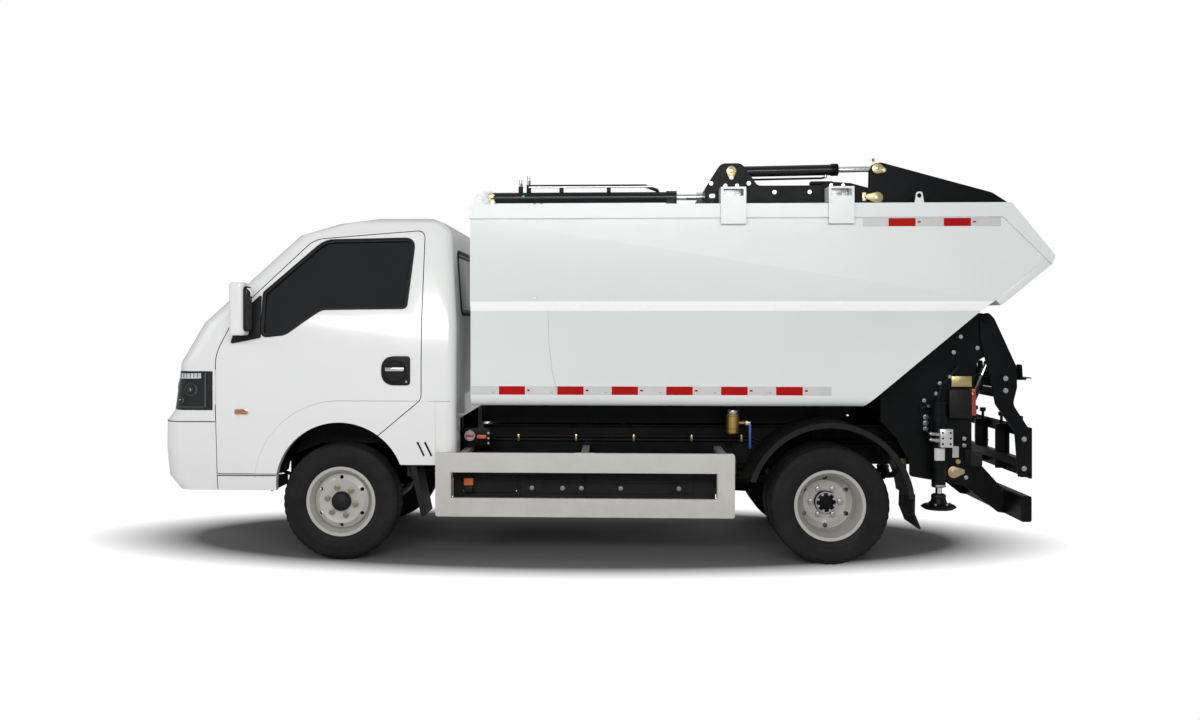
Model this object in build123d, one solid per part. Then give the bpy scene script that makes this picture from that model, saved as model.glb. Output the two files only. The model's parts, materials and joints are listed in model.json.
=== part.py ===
from build123d import *
import math
import os

# Light refuse truck with a tipping container, a top packer and a rear bin lifter.
# Millimetres. +X is forward, +Y is the left side, +Z is up. The origin is on the ground,
# at the middle of the length and of the width.

# ---- overall sizes ----
WHEELBASE = 2800.0
FRONT_OVERHANG = 1142.0
REAR_OVERHANG = 1238.0
LENGTH = FRONT_OVERHANG + WHEELBASE + REAR_OVERHANG
FX = LENGTH / 2 - FRONT_OVERHANG          # front axle
RX = FX - WHEELBASE                       # rear axle
TAIL_X = -LENGTH / 2                      # rear tip of the container
RUN = 5.0                                 # clearance of moving pieces
FIT = 0.3                                 # clearance of seated pieces

# ---- tyres and rims ----
TYRE_D = 674.0
TYRE_W = 185.0
TYRE_SHOULDER = 38.0
AXLE_Z = TYRE_D / 2
RIM_R = 190.5                             # bead seat
RIM_LIP = 18.0
RIM_W = 140.0
RIM_WALL = 7.0
RIM_WELL = 24.0
FRONT_TRACK = 1410.0
REAR_OUTER_TRACK = 1475.0                 # middle of the outer rear tyres
TWIN_SPACING = 210.0
HUB_R = 46.0
SPINDLE_R = 22.0
KINGPIN_Y = FRONT_TRACK / 2 - 115.0
KINGPIN_R = 20.0
KNUCKLE_R = 36.0

# ---- chassis ----
RAIL_Z = 520.0
RAIL_H = 120.0
RAIL_W = 60.0
RAIL_T = 6.0
RAIL_OUT = REAR_OUTER_TRACK / 2 - TWIN_SPACING - TYRE_W / 2 - 65.0   # outside of the rails
RAIL_FRONT = FX + 880.0
RAIL_REAR = TAIL_X + 338.0
SUBFRAME_H = 110.0
SUBFRAME_REAR = TAIL_X + 678.0
SPRING_W = 60.0
SPRING_Y = RAIL_OUT - 10.0
LEAF_T = 9.0

# ---- cab ----
CAB_WALL = 45.0
DOOR_GAP = 5.0
ARCH_R = 377.0
ARCH_Z = 421.0
SILL_Z = 494.0
BUMPER_TOP = 800.0
BUMPER_BACK = FX + 722.0
DOOR_FRONT = FX + 722.0
CAB_BACK = -672.0                         # rear wall, from the front axle
FLOOR_Z = 655.0
FLOOR_T = 20.0
SEAT_FLOOR_Z = 840.0
GLASS_T = 6.0

# Level, half width, front at the middle, bow, corner radius, rear wall (x from the front axle)
CAB_LEVELS = (
    (400.0, 785.0, 1065.0, 120.0, 130.0, CAB_BACK),
    (480.0, 800.0, 1128.0, 122.0, 135.0, CAB_BACK),
    (640.0, 812.0, 1142.0, 124.0, 140.0, CAB_BACK),
    (800.0, 824.0, 1134.0, 122.0, 140.0, CAB_BACK),
    (862.0, 830.0, 1085.0, 120.0, 140.0, CAB_BACK),
    (1140.0, 830.0, 1045.0, 118.0, 140.0, CAB_BACK),
    (1372.0, 818.0, 905.0, 112.0, 130.0, CAB_BACK),
    (1887.0, 700.0, 345.0, 85.0, 110.0, CAB_BACK + 40.0),
    (1958.0, 650.0, 110.0, 70.0, 100.0, CAB_BACK + 90.0),
    (1990.0, 575.0, -90.0, 60.0, 90.0, CAB_BACK + 165.0),
)
# x from the front axle, z, corner radius
DOOR_OUTLINE = (
    (722.0, SILL_Z, 10.0),
    (722.0, 1190.0, 260.0),
    (590.0, 1450.0, 300.0),
    (175.0, 1862.0, 160.0),
    (-480.0, 1915.0, 45.0),
    (-478.0, 930.0, 60.0),
    (-190.0, 690.0, 0.0),
    (-190.0, SILL_Z, 0.0),
)
WINDOW_OUTLINE = (
    (450.0, 1292.0, 30.0),
    (317.0, 1306.0, 90.0),
    (110.0, 1452.0, 110.0),
    (-382.0, 1458.0, 25.0),
    (-418.0, 1862.0, 55.0),
    (110.0, 1852.0, 150.0),
    (450.0, 1545.0, 20.0),
)

# ---- container ----
BOX_FRONT = FX + CAB_BACK - 86.0
BOX_BOTTOM = 895.0
BOX_HALF = 835.0                          # above the waist
BOX_LOWER_HALF = BOX_HALF - 27.0                    # below the waist
BOX_WAIST = (1440.0, 1493.0)
BOX_WALL = 14.0
BOX_EDGE_R = 60.0
RAILTOP_Z = 2045.0
TOPRAIL_H = 80.0
TOPRAIL_W = 60.0
TOPRAIL_PROUD = 18.0
SLOPE_START = TAIL_X + 1043.0
SLOPE_END = (TAIL_X + 324.0, 1498.0)
TAIL_STEP = (TAIL_X + 290.0, 1470.0)
TAIL_LOW = (TAIL_X + 18.0, 1695.0)
TAIL_TIP = (TAIL_X, 1749.0)
TAIL_TOP = (TAIL_X + 240.0, RAILTOP_Z)
ROOF_END = TAIL_X + 2030.0

# ---- tipping ----
TIP = (TAIL_X + 340.0, 1408.0)                # rear pivot of the container
TIP_PIN_R = 20.0
TIP_EAR_R = 42.0
TIP_EAR_Y = RAIL_OUT - 64.0
EAR_T = 16.0
RAM_BASE = (TAIL_X + 1690.0, 552.0)
RAM_EYE = (TAIL_X + 1090.0, 756.0)

# ---- packer ----
PACK_PIVOT = (TAIL_X + 959.0, 2085.0)
PACK_EYE = (TAIL_X + 952.0, 2256.0)
PACK_BARREL_PIN = (TAIL_X + 1786.0, 2243.0)
PACK_TIP = (TAIL_X + 175.0, 1991.0)
PACK_LANE = BOX_HALF - 147.0                         # middle of the arm cylinders across the truck
PACK_OUTER = (PACK_LANE + 37.0, PACK_LANE + 49.0)   # carriage plates, across the truck
PACK_INNER = (PACK_LANE - 50.0, PACK_LANE - 38.0)
ARM_OUTER = (PACK_LANE + 23.0, PACK_LANE + 31.0)
ARM_INNER = (PACK_LANE - 31.0, PACK_LANE - 23.0)
PACK_BARREL_R = 31.0
PACK_ROD_R = 17.0
PACK_PIN_R = 18.0
SLIDE_Z = 2112.0
SLIDE_Y = PACK_LANE - 128.0
SLIDE_R = 32.0
SLIDE_ROD_R = 18.0
CARRIAGE_FRONT = TAIL_X + 1937.0
SLIDE_BARREL = (BOX_FRONT - 90.0, CARRIAGE_FRONT + 153.0)

# ---- rear frame, lifter and legs ----
POST_OUTLINE_GAP = 22.0
FRAME_PLATE_Y = 600.0
FRAME_PLATE_T = 12.0
LIFT = (TAIL_X + 313.0, 1395.0)               # hinge of the bin lifter
LIFT_ARM_Y = (618.0, 630.0)
LIFT_PIN_R = 20.0
LIFT_EYE = (TAIL_X + 240.0, 1200.0)
LIFT_BASE = (TAIL_X + 510.0, 600.0)
LIFT_LANE = 520.0
LEG_X = RX - 639.0
LEG_Y = 690.0
LEG_R = 39.5
LEG_TOP = 909.0
LEG_BOTTOM = 449.0
FOOT_R = 100.0
FOOT_Z = 304.0


# ---- small helpers ----
def block(x0, x1, y0, y1, z0, z1):
    """Box between two corners."""
    return Pos((x0 + x1) / 2, (y0 + y1) / 2, (z0 + z1) / 2) * Box(abs(x1 - x0), abs(y1 - y0), abs(z1 - z0))


def outline(rows, shift=0.0):
    """Closed outline from rows of (along, up, corner radius)."""
    face = make_face(Polyline(*[(a + shift, b) for a, b, _ in rows], close=True))
    for a, b, radius in rows:
        if radius > 0:
            corner = face.vertices().sort_by_distance((a + shift, b, 0))[0]
            face = fillet(corner, radius)
    return face


def across(sketch, y0, y1):
    """Sketch drawn in x and z, extruded from y0 to y1."""
    return extrude(Plane.XZ.offset(-max(y0, y1)) * sketch, amount=abs(y1 - y0))


def along(sketch, x0, x1):
    """Sketch drawn in y and z, extruded from x0 to x1."""
    return extrude(Plane.YZ.offset(min(x0, x1)) * sketch, amount=abs(x1 - x0))


def upright(sketch, z0, z1):
    """Sketch drawn in x and y, extruded from z0 to z1."""
    return extrude(Plane.XY.offset(z0) * sketch, amount=z1 - z0)


def pin_y(at, radius, y0, y1):
    """Round bar across the truck at (x, z)."""
    return across(Pos(at[0], at[1]) * Circle(radius), y0, y1)


def bar(p, q, radius):
    """Round bar between two points."""
    start, end = Vector(*p), Vector(*q)
    way = end - start
    return extrude(Plane(origin=start, z_dir=way) * Circle(radius), amount=way.length)


def both(solid):
    """The piece and its mirror image on the other side."""
    return solid + mirror(solid, about=Plane.XZ)


def other(solid):
    """Mirror image on the right side."""
    return mirror(solid, about=Plane.XZ)


PARTS = {}


def keep(name, shape):
    PARTS[name] = shape


# ---- wheels ----
def tyre(middle):
    """Tyre about the axle line, its middle at the given y."""
    seat = RIM_R + FIT
    half = TYRE_W / 2
    bead = RIM_W / 2 - 2
    top = TYRE_D / 2
    tread = half - 16
    rows = [(bead, seat), (bead, seat + 16), (half, (seat + top) / 2), (half - 5, top - TYRE_SHOULDER),
            (tread, top)]
    rows += [(-y, radius) for y, radius in reversed(rows)]
    ring = revolve(make_face(Polyline(*rows, close=True)), Axis.X)
    return Pos(0, middle, 0) * Rot(0, 0, 90) * ring


def rim(middle, disc_rows):
    """Wheel rim with its disc; disc rows are (y from the middle, radius)."""
    w = RIM_W / 2
    lip = RIM_R + RIM_LIP
    well = RIM_R - RIM_WELL
    rows = [
        (w + 8, lip), (w, lip), (w - 2, RIM_R), (w - 46, well), (46 - w, well), (2 - w, RIM_R), (-w, lip),
        (-w - 8, lip), (-w - 6, RIM_R - RIM_WALL), (46 - w, well - RIM_WALL), (w - 46, well - RIM_WALL),
        (w + 6, RIM_R - RIM_WALL),
    ]
    barrel = revolve(make_face(Polyline(*rows, close=True)), Axis.X)
    disc = revolve(make_face(Polyline(*disc_rows, close=True)), Axis.X)
    return Pos(0, middle, 0) * Rot(0, 0, 90) * (barrel + disc)


def dished(sign, rows, thick):
    """Disc section of one thickness through rows of (y, radius), outermost radius first."""
    outer = [(sign * a, r) for a, r in rows]
    inner = [(sign * (a - thick), r) for a, r in reversed(rows)]
    return outer + inner


def hand_holes(middle_y, radius, count, size):
    """Round holes through a disc, about the axle line."""
    holes = Part()
    for k in range(count):
        turn = math.radians(360.0 * (k + 0.5) / count)
        at = (radius * math.cos(turn), radius * math.sin(turn))
        holes += pin_y(at, size, middle_y - 60, middle_y + 60)
    return holes


def front_rim():
    """Left front rim; its disc bulges outwards and carries the hub."""
    well = RIM_R - RIM_WELL - 1
    rows = [(10.0, well), (42.0, well - 10), (58.0, 128.0), (52.0, 96.0), (52.0, HUB_R - 2)]
    y = FRONT_TRACK / 2
    wheel = rim(y, dished(1, rows, 9.0))
    wheel -= hand_holes(y + 48, 138.0, 6, 11.0)
    wheel += pin_y((0, 0), HUB_R, y - 10, y + 78)
    wheel += pin_y((0, 0), 88.0, y + 36, y + 46)
    return wheel - pin_y((0, 0), SPINDLE_R + FIT, y - 80, y + 40)


def rear_rims():
    """Left twin rims, bolted disc to disc between the two tyres."""
    well = RIM_R - RIM_WELL - 1
    outer_y = REAR_OUTER_TRACK / 2
    inner_y = outer_y - TWIN_SPACING
    joint = (outer_y + inner_y) / 2
    reach = outer_y - joint
    rows = [(-22.0, well), (34 - reach, well - 12), (12 - reach, 124.0), (9 - reach, HUB_R - 2)]
    wheel = rim(outer_y, [*rows, *[(a - 9, r) for a, r in reversed(rows)]])
    back = [(-a, r) for a, r in rows]
    wheel += rim(inner_y, [*back, *[(a + 9, r) for a, r in reversed(back)]])
    wheel -= hand_holes(outer_y - 60, 138.0, 6, 13.0)
    wheel += pin_y((0, 0), 60.0, joint - 30, joint + 60)
    wheel += pin_y((0, 0), 92.0, joint + 9, joint + 18)
    return wheel - pin_y((0, 0), SPINDLE_R + 8 + FIT, joint - 80, joint + 30)


def wheels():
    front_tyre = Pos(FX, 0, AXLE_Z) * tyre(FRONT_TRACK / 2)
    front = Pos(FX, 0, AXLE_Z) * front_rim()
    rear_y = REAR_OUTER_TRACK / 2
    rear_tyres = Pos(RX, 0, AXLE_Z) * (tyre(rear_y) + tyre(rear_y - TWIN_SPACING))
    rear = Pos(RX, 0, AXLE_Z) * rear_rims()
    for name, piece in (("front_tyre", front_tyre), ("front_rim", front),
                        ("rear_tyres", rear_tyres), ("rear_rims", rear)):
        keep(name + "_left", piece)
        keep(name + "_right", other(piece))


# ---- axles and springs ----
BOSS_HALF = 37.0


def knuckle():
    """Left steering knuckle: two lugs on the kingpin, a web, a brake drum and the spindle."""
    y = KINGPIN_Y
    lug_low = upright(Pos(FX, y) * Circle(KNUCKLE_R), AXLE_Z - 108, AXLE_Z - BOSS_HALF - RUN)
    lug_top = upright(Pos(FX, y) * Circle(KNUCKLE_R), AXLE_Z + BOSS_HALF + RUN, AXLE_Z + 108)
    web_y = y + KNUCKLE_R + RUN
    body = lug_low + lug_top + block(FX - 38, FX + 38, web_y, web_y + 20, AXLE_Z - 108, AXLE_Z + 108)
    for z0, z1 in ((AXLE_Z - 108, AXLE_Z - BOSS_HALF - RUN), (AXLE_Z + BOSS_HALF + RUN, AXLE_Z + 108)):
        body += block(FX - 30, FX + 30, y, web_y + 4, z0, z1)
    body += upright(Pos(FX, y) * Circle(KINGPIN_R), AXLE_Z - 108, AXLE_Z + 108)
    body += pin_y((FX, AXLE_Z), 140.0, web_y + 12, web_y + 40)
    tip_y = FRONT_TRACK / 2 + 36
    return body + pin_y((FX, AXLE_Z), SPINDLE_R, web_y, tip_y)


def front_axle():
    """Dropped beam with an eye for each kingpin."""
    y = KINGPIN_Y
    beam = block(FX - 32, FX + 32, -430, 430, AXLE_Z - 70, AXLE_Z - 10)
    arm = make_face(Polyline((400, AXLE_Z - 70), (400, AXLE_Z - 10), (y - 30, AXLE_Z + 30),
                             (y, AXLE_Z + 30), (y, AXLE_Z - 30), (y - 30, AXLE_Z - 30), close=True))
    boss = upright(Pos(FX, y) * Circle(KNUCKLE_R), AXLE_Z - BOSS_HALF, AXLE_Z + BOSS_HALF)
    seat = block(FX - 50, FX + 50, SPRING_Y - SPRING_W / 2, SPRING_Y + SPRING_W / 2,
                 AXLE_Z - 12, AXLE_Z + 2)
    beam += both(along(arm, FX - 26, FX + 26) + boss + seat)
    bore = upright(Pos(FX, y) * Circle(KINGPIN_R + FIT), AXLE_Z - 60, AXLE_Z + 60)
    return beam - both(bore)


def rear_axle():
    """Driven axle: tube, gear case, drums and stub ends."""
    joint = (REAR_OUTER_TRACK - TWIN_SPACING) / 2
    tube = pin_y((RX, AXLE_Z), 46.0, -joint + 60, joint - 60)
    case = Pos(RX, 0, AXLE_Z) * Sphere(150) & block(RX - 150, RX + 150, -110, 110, AXLE_Z - 150, AXLE_Z + 150)
    nose = bar((RX, 0, AXLE_Z), (RX + 250, 0, AXLE_Z + 20), 55.0)
    drum = pin_y((RX, AXLE_Z), 140.0, joint - 130, joint - 44)
    stub = pin_y((RX, AXLE_Z), SPINDLE_R + 8, joint - 60, joint + 26)
    seat = block(RX - 55, RX + 55, SPRING_Y - SPRING_W / 2, SPRING_Y + SPRING_W / 2, AXLE_Z, AXLE_Z + 55)
    return tube + case + nose + both(drum + stub + seat)


def leaf_pack(x, seat_z, half, rise, leaves):
    """Leaf spring on its seat: each lower leaf is shorter, the top one ends under the rail."""
    pack = Part()
    y0 = SPRING_Y - SPRING_W / 2
    y1 = SPRING_Y + SPRING_W / 2
    for k in range(leaves):
        reach = half * (0.45 + 0.55 * (k + 1) / leaves)
        low = seat_z + k * LEAF_T
        lift = rise * (reach / half) ** 2
        under = ThreePointArc((x - reach, low + lift), (x, low), (x + reach, low + lift))
        top = ThreePointArc((x + reach, low + lift + LEAF_T), (x, low + LEAF_T),
                            (x - reach, low + lift + LEAF_T))
        ends = [Line(under @ 1, top @ 0), Line(top @ 1, under @ 0)]
        pack += across(make_face(Curve() + [under, top, *ends]), y0, y1)
    top_z = seat_z + leaves * LEAF_T + rise
    for end in (x - half + 12, x + half - 12):
        pack += across(Pos(end, top_z - 4) * Circle(20), y0, y1)
        pack += block(end - 14, end + 14, y0, y1, top_z, RAIL_Z)
    clamp = block(x - 45, x + 45, y0, y1, seat_z, seat_z + leaves * LEAF_T + 12)
    return pack + clamp


def springs():
    front_rise = RAIL_Z - AXLE_Z - 2 - 4 * LEAF_T - 50
    rear_rise = RAIL_Z - AXLE_Z - 55 - 5 * LEAF_T - 46
    front = leaf_pack(FX, AXLE_Z + 2, 480.0, front_rise, 4)
    rear = leaf_pack(RX, AXLE_Z + 55, 520.0, rear_rise, 5)
    return both(front) + both(rear)


# ---- chassis ----
def chassis_frame():
    """Two channel rails, their cross members and the subframe of the container."""
    inner = RAIL_OUT - RAIL_W
    rail = block(RAIL_REAR, RAIL_FRONT, inner, RAIL_OUT, RAIL_Z, RAIL_Z + RAIL_H)
    rail -= block(RAIL_REAR - 1, RAIL_FRONT + 1, inner - 1, RAIL_OUT - RAIL_T,
                  RAIL_Z + RAIL_T, RAIL_Z + RAIL_H - RAIL_T)
    frame = both(rail)
    mid_x = (FX + RX) / 2
    for x in (RAIL_FRONT - 60, FX + 320, FX - 560, mid_x + 12, RAM_BASE[0] + 108, RX - 420, RAIL_REAR + 60):
        frame += block(x - 30, x + 30, -RAIL_OUT + RAIL_T, RAIL_OUT - RAIL_T,
                       RAIL_Z + RAIL_T, RAIL_Z + RAIL_H - RAIL_T)
    top = RAIL_Z + RAIL_H
    sub = block(SUBFRAME_REAR, BOX_FRONT - 20, inner + 6, RAIL_OUT - 2, top, top + SUBFRAME_H)
    sub -= block(SUBFRAME_REAR - 1, BOX_FRONT, inner + 12, RAIL_OUT, top + 6, top + SUBFRAME_H - 6)
    frame += both(sub)
    for x in (BOX_FRONT - 60, mid_x - 248, SUBFRAME_REAR + 40):
        frame += block(x - 30, x + 30, -inner - 8, inner + 8, top, top + SUBFRAME_H - 8)
    base_x, base_z = RAM_BASE
    ears = block(base_x - 45, base_x + 45, 52, 66, RAIL_Z - 10, base_z + 34)
    frame += block(base_x - 45, base_x + 45, -inner - 8, inner + 8, RAIL_Z - 34, RAIL_Z - 8)
    frame += both(block(base_x - 45, base_x + 45, inner, inner + 8, RAIL_Z - 34, RAIL_Z + RAIL_T))
    frame += both(ears) + pin_y(RAM_BASE, 16.0, -58, 58)
    return frame


def drive_motor():
    """Electric motor with its reduction gear, between the rails ahead of the rear axle."""
    x = RAM_BASE[0] + 238
    z = AXLE_Z + 60
    motor = bar((x - 160, 0, z), (x + 190, 0, z), 120.0)
    gear = bar((x - 330, 0, z - 20), (x - 160, 0, z - 10), 80.0)
    hanger = block(x - 40, x + 40, -RAIL_OUT + RAIL_T + FIT, RAIL_OUT - RAIL_T - FIT, z + 60, RAIL_Z - FIT)
    return motor + gear + hanger


BATTERY = (RX + 760.0, FX - 690.0, 500.0, 640.0, 285.0, 600.0)


def battery_box():
    """Battery and control boxes hung beside each rail, with their brackets."""
    x0, x1, y0, y1, z0, z1 = BATTERY
    boxes = Part()
    for a, b, low in ((x0, x0 + 620, z0 + 40), (x0 + 640, x1 - 340, z0), (x1 - 320, x1, z0 + 90)):
        case = block(a, b, y0, y1, low, z1 - 40)
        case = chamfer(case.edges().filter_by(Axis.Y), 14)
        lid = block(a - 8, b + 8, y0 - 4, y1 + 6, z1 - 40, z1 - 22)
        boxes += case + lid
    for x in (x0 + 120, x0 + 520, x0 + 900, x1 - 420, x1 - 120):
        boxes += block(x - 20, x + 20, RAIL_OUT, y0 + 20, z1 - 60, z1 - 22)
    boxes += block(x0, x1, y0 + 10, y1 - 30, z1 - 30, z1 - 10)
    return both(boxes)


GUARD = (RX + 538.0, FX - 560.0, 266.0, 630.0)
GUARD_Y = (818.0, 846.0)


def side_guards():
    """Aluminium guard with rounded ends and a long window, on brackets from the rail."""
    x0, x1, z0, z1 = GUARD
    y0, y1 = GUARD_Y
    plate = outline([(x0, z0, 14.0), (x0, z1, 14.0), (x1, z1, 14.0), (x1, z0, 14.0)])
    gap = outline([(x0 + 92, z0 + 106, 6.0), (x0 + 92, z1 - 112, 6.0),
                   (x1 - 84, z1 - 112, 6.0), (x1 - 84, z0 + 106, 6.0)])
    guard = across(plate, y0, y1) - across(gap, y0 - 5, y1 + 5)
    for a, b in ((x0 + 92, x0 + 98), (x1 - 90, x1 - 84)):
        guard += block(a, b, y0 - 60, y1 - 6, z0 + 106, z1 - 112)
    for x in (x0 + 60, (x0 + x1) / 2, x1 - 150):
        guard += block(x - 20, x + 20, RAIL_OUT, y0, z1 - 32, z1 - 6)
    return both(guard)


# ---- rear fenders, frame and legs ----
FENDER_R = 470.0
FENDER_Y = (425.0, 838.0)


def rear_fenders():
    """Half round mudguards over the twin wheels, with a flap behind."""
    y0, y1 = FENDER_Y
    ring = Pos(RX, AXLE_Z) * (Circle(FENDER_R) - Circle(FENDER_R - 8))
    keep_side = make_face(Polyline((RX - 600, AXLE_Z + 30), (RX - 600, AXLE_Z + 700),
                                   (RX + 600, AXLE_Z + 700), (RX + 600, AXLE_Z + 150), close=True))
    arch = across(ring & keep_side, y0, y1)
    lip = Pos(RX, AXLE_Z) * (Circle(FENDER_R) - Circle(FENDER_R - 30))
    arch += across(lip & keep_side, y1 - 6, y1)
    edge = math.sqrt((FENDER_R - 4) ** 2 - 60.0 ** 2)
    flap = outline([(RX - edge - 8, AXLE_Z + 70, 0.0), (RX - edge + 2, AXLE_Z + 66, 0.0),
                    (RX - edge + 6, 300.0, 0.0), (RX - edge - 28, 212.0, 0.0),
                    (RX - edge - 40, 216.0, 0.0), (RX - edge - 6, 300.0, 0.0)])
    arch += across(flap, y0 + 80, y1)
    arch += block(RX - 30, RX + 30, RAIL_OUT - 2, y0 + 12, AXLE_Z + FENDER_R - 40, AXLE_Z + FENDER_R - 4)
    arch += block(RX - 30, RX + 30, RAIL_OUT - 2, RAIL_OUT + 12, RAIL_Z + RAIL_H, AXLE_Z + FENDER_R - 10)
    return both(arch)


def slope_point(x, drop):
    """Point under the sloping floor of the container, square below it by the drop."""
    rise = (SLOPE_END[1] - BOX_BOTTOM) / (SLOPE_START - SLOPE_END[0])
    return (x, BOX_BOTTOM + (SLOPE_START - x) * rise - drop * math.hypot(1, rise))


def rear_frame():
    """Black plates under the sloping floor, tied across, with the pivots of container and lifter."""
    top = RAIL_Z + RAIL_H
    plate = outline([
        (*slope_point(RX - 330, POST_OUTLINE_GAP), 0.0),
        (*slope_point(TAIL_X + 368, POST_OUTLINE_GAP), 30.0),
        (TAIL_X + 293, 1421.0, 10.0),
        (TAIL_X + 293, 1184.0, 10.0),
        (TAIL_X + 358, 1150.0, 60.0),
        (TAIL_X + 388, 880.0, 60.0),
        (TAIL_X + 388, 420.0, 20.0),
        (RX - 495, 480.0, 20.0),
        (RX - 495, 560.0, 0.0),
        (RX - 420, 700.0, 0.0),
        (RX - 330, 800.0, 0.0),
    ])
    y0 = FRAME_PLATE_Y
    frame = across(plate, y0, y0 + FRAME_PLATE_T)
    pivot_x, pivot_z = TIP
    post = make_face(Polyline((TAIL_X + 598, top), (pivot_x + 60, pivot_z - 10), (pivot_x - 30, pivot_z - 30),
                              (TAIL_X + 388, 1000), (TAIL_X + 388, top), close=True))
    post += Pos(pivot_x, pivot_z) * Circle(TIP_EAR_R)
    ear_y = TIP_EAR_Y + EAR_T + RUN + 1
    frame += across(post, ear_y, ear_y + EAR_T)
    frame += pin_y(TIP, TIP_PIN_R, TIP_EAR_Y - 8, ear_y + EAR_T)
    frame += pin_y(LIFT, LIFT_PIN_R, y0, LIFT_ARM_Y[1] + 14)
    frame = both(frame)
    for x, z in ((TAIL_X + 358, 1230.0), (TAIL_X + 538, 960.0), (TAIL_X + 618, 690.0)):
        frame += block(x - 30, x + 30, -y0 - 2, y0 + 2, z - 30, z + 30)
    base_x, base_z = LIFT_BASE
    lane = LIFT_LANE
    for y in (lane - 47, lane + 37):
        frame += both(block(base_x - 30, base_x + 90, y, y + 10, base_z - 32, 672.0))
    frame += both(pin_y(LIFT_BASE, 14.0, lane - 42, lane + 42))
    return frame


def stabiliser_tubes():
    """Round guides of the two parking legs, with a cap and brackets to the frame plates."""
    tube = upright(Pos(LEG_X, LEG_Y) * (Circle(LEG_R) - Circle(LEG_R - 8)), LEG_BOTTOM, LEG_TOP)
    tube += upright(Pos(LEG_X, LEG_Y) * Circle(LEG_R + 3), LEG_TOP - 2, LEG_TOP + 12)
    for z in (LEG_BOTTOM + 90, LEG_TOP - 110):
        clip = upright(Pos(LEG_X, LEG_Y) * (Circle(LEG_R + 8) - Circle(LEG_R - 1)), z, z + 40)
        tube += clip
        tube += block(LEG_X - 25, LEG_X + 25, FRAME_PLATE_Y + FRAME_PLATE_T, LEG_Y - LEG_R + 2, z, z + 40)
    return both(tube)


def leg():
    """Left parking leg: rod and round foot."""
    rod = upright(Pos(LEG_X, LEG_Y) * Circle(LEG_R - 8 - 0.4), LEG_BOTTOM + 60, LEG_TOP - 30)
    rod += upright(Pos(LEG_X, LEG_Y) * Circle(18), FOOT_Z + 20, LEG_BOTTOM + 80)
    foot = Plane.XZ * Polyline((0, FOOT_Z), (FOOT_R - 20, FOOT_Z), (FOOT_R, FOOT_Z + 14),
                               (FOOT_R - 12, FOOT_Z + 24), (48, FOOT_Z + 34), (40, FOOT_Z + 62),
                               (0, FOOT_Z + 62), close=True)
    return rod + Pos(LEG_X, LEG_Y, 0) * revolve(make_face(foot), Axis.Z)


BEAM = (TAIL_X + 73.0, TAIL_X + 133.0, 690.0, 232.0, 380.0)


def underrun_beam():
    """Rear bumper beam on two arms that drop from the rails."""
    x0, x1, half, z0, z1 = BEAM
    beam = block(x0, x1, -half, half, z0, z1)
    beam = fillet(beam.edges().filter_by(Axis.Y), 12)
    arm = outline([(TAIL_X + 458, 660.0, 0.0), (TAIL_X + 388, 660.0, 0.0), (x1 + 4, z1, 0.0),
                   (x1 - 10, z0, 0.0), (x1 + 30, z0 + 6, 0.0), (TAIL_X + 458, 470.0, 0.0)])
    return beam + both(across(arm, RAIL_OUT, RAIL_OUT + 12))


# ---- cab ----
def cab_loft(inset):
    """Closed form of the cab, moved inwards by the inset."""
    sections = []
    for level, (z, half, front, bow, radius, back) in enumerate(CAB_LEVELS):
        if level == 0:
            z -= 1.0 if inset > 0 else 0.0
        elif level >= len(CAB_LEVELS) - 2:
            z -= inset
        w = half - inset
        nose = FX + front - inset
        rear = FX + back + inset
        corner = nose - bow
        edges = [
            Line((rear, -w), (corner, -w)),
            ThreePointArc((corner, -w), (nose, 0), (corner, w)),
            Line((corner, w), (rear, w)),
            Line((rear, w), (rear, -w)),
        ]
        face = make_face(Curve() + edges)
        for sign in (1, -1):
            face = fillet(face.vertices().sort_by_distance((corner, sign * w, 0))[0], radius - inset)
            face = fillet(face.vertices().sort_by_distance((rear, sign * w, 0))[0], 60.0 - inset)
        sections.append(Plane.XY.offset(z) * face)
    return loft(sections, ruled=True)


WINDSCREEN = [(-600.0, 1408.0, 60.0), (-505.0, 1852.0, 60.0), (505.0, 1852.0, 60.0), (600.0, 1408.0, 60.0)]
BACKLIGHT = [(-520.0, 1440.0, 50.0), (-500.0, 1780.0, 60.0), (500.0, 1780.0, 60.0), (520.0, 1440.0, 50.0)]
LAMP = (FX + 735.0, FX + 1100.0, 520.0, 866.0, 1092.0)
GRILLE = (380.0, 470.0, 590.0)


def door_opening():
    """Prism of the left door opening, with the wheel arch."""
    face = outline(DOOR_OUTLINE, FX)
    return across(face - Pos(FX, ARCH_Z) * Circle(ARCH_R), 400.0, 900.0)


def door_prism():
    """Prism of the left door itself, smaller by the gap."""
    face = offset(outline(DOOR_OUTLINE, FX), -DOOR_GAP)
    return across(face - Pos(FX, ARCH_Z) * Circle(ARCH_R), 400.0, 900.0)


FLARE_R = 500.0
FLARE_PROUD = 7.0
FIT_GUARD = 5.0


def arch_flare():
    """Raised panel round the left wheel arch; it runs level to the rear corner."""
    level = block(GUARD[1] + FIT_GUARD, FX, 600, 900, SILL_Z, ARCH_Z + FLARE_R)
    ring = pin_y((FX, ARCH_Z), FLARE_R, 600, 900) & block(FX, FX + FLARE_R, 600, 900, SILL_Z, 1000)
    return cab_loft(-FLARE_PROUD) & (level + ring)


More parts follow.
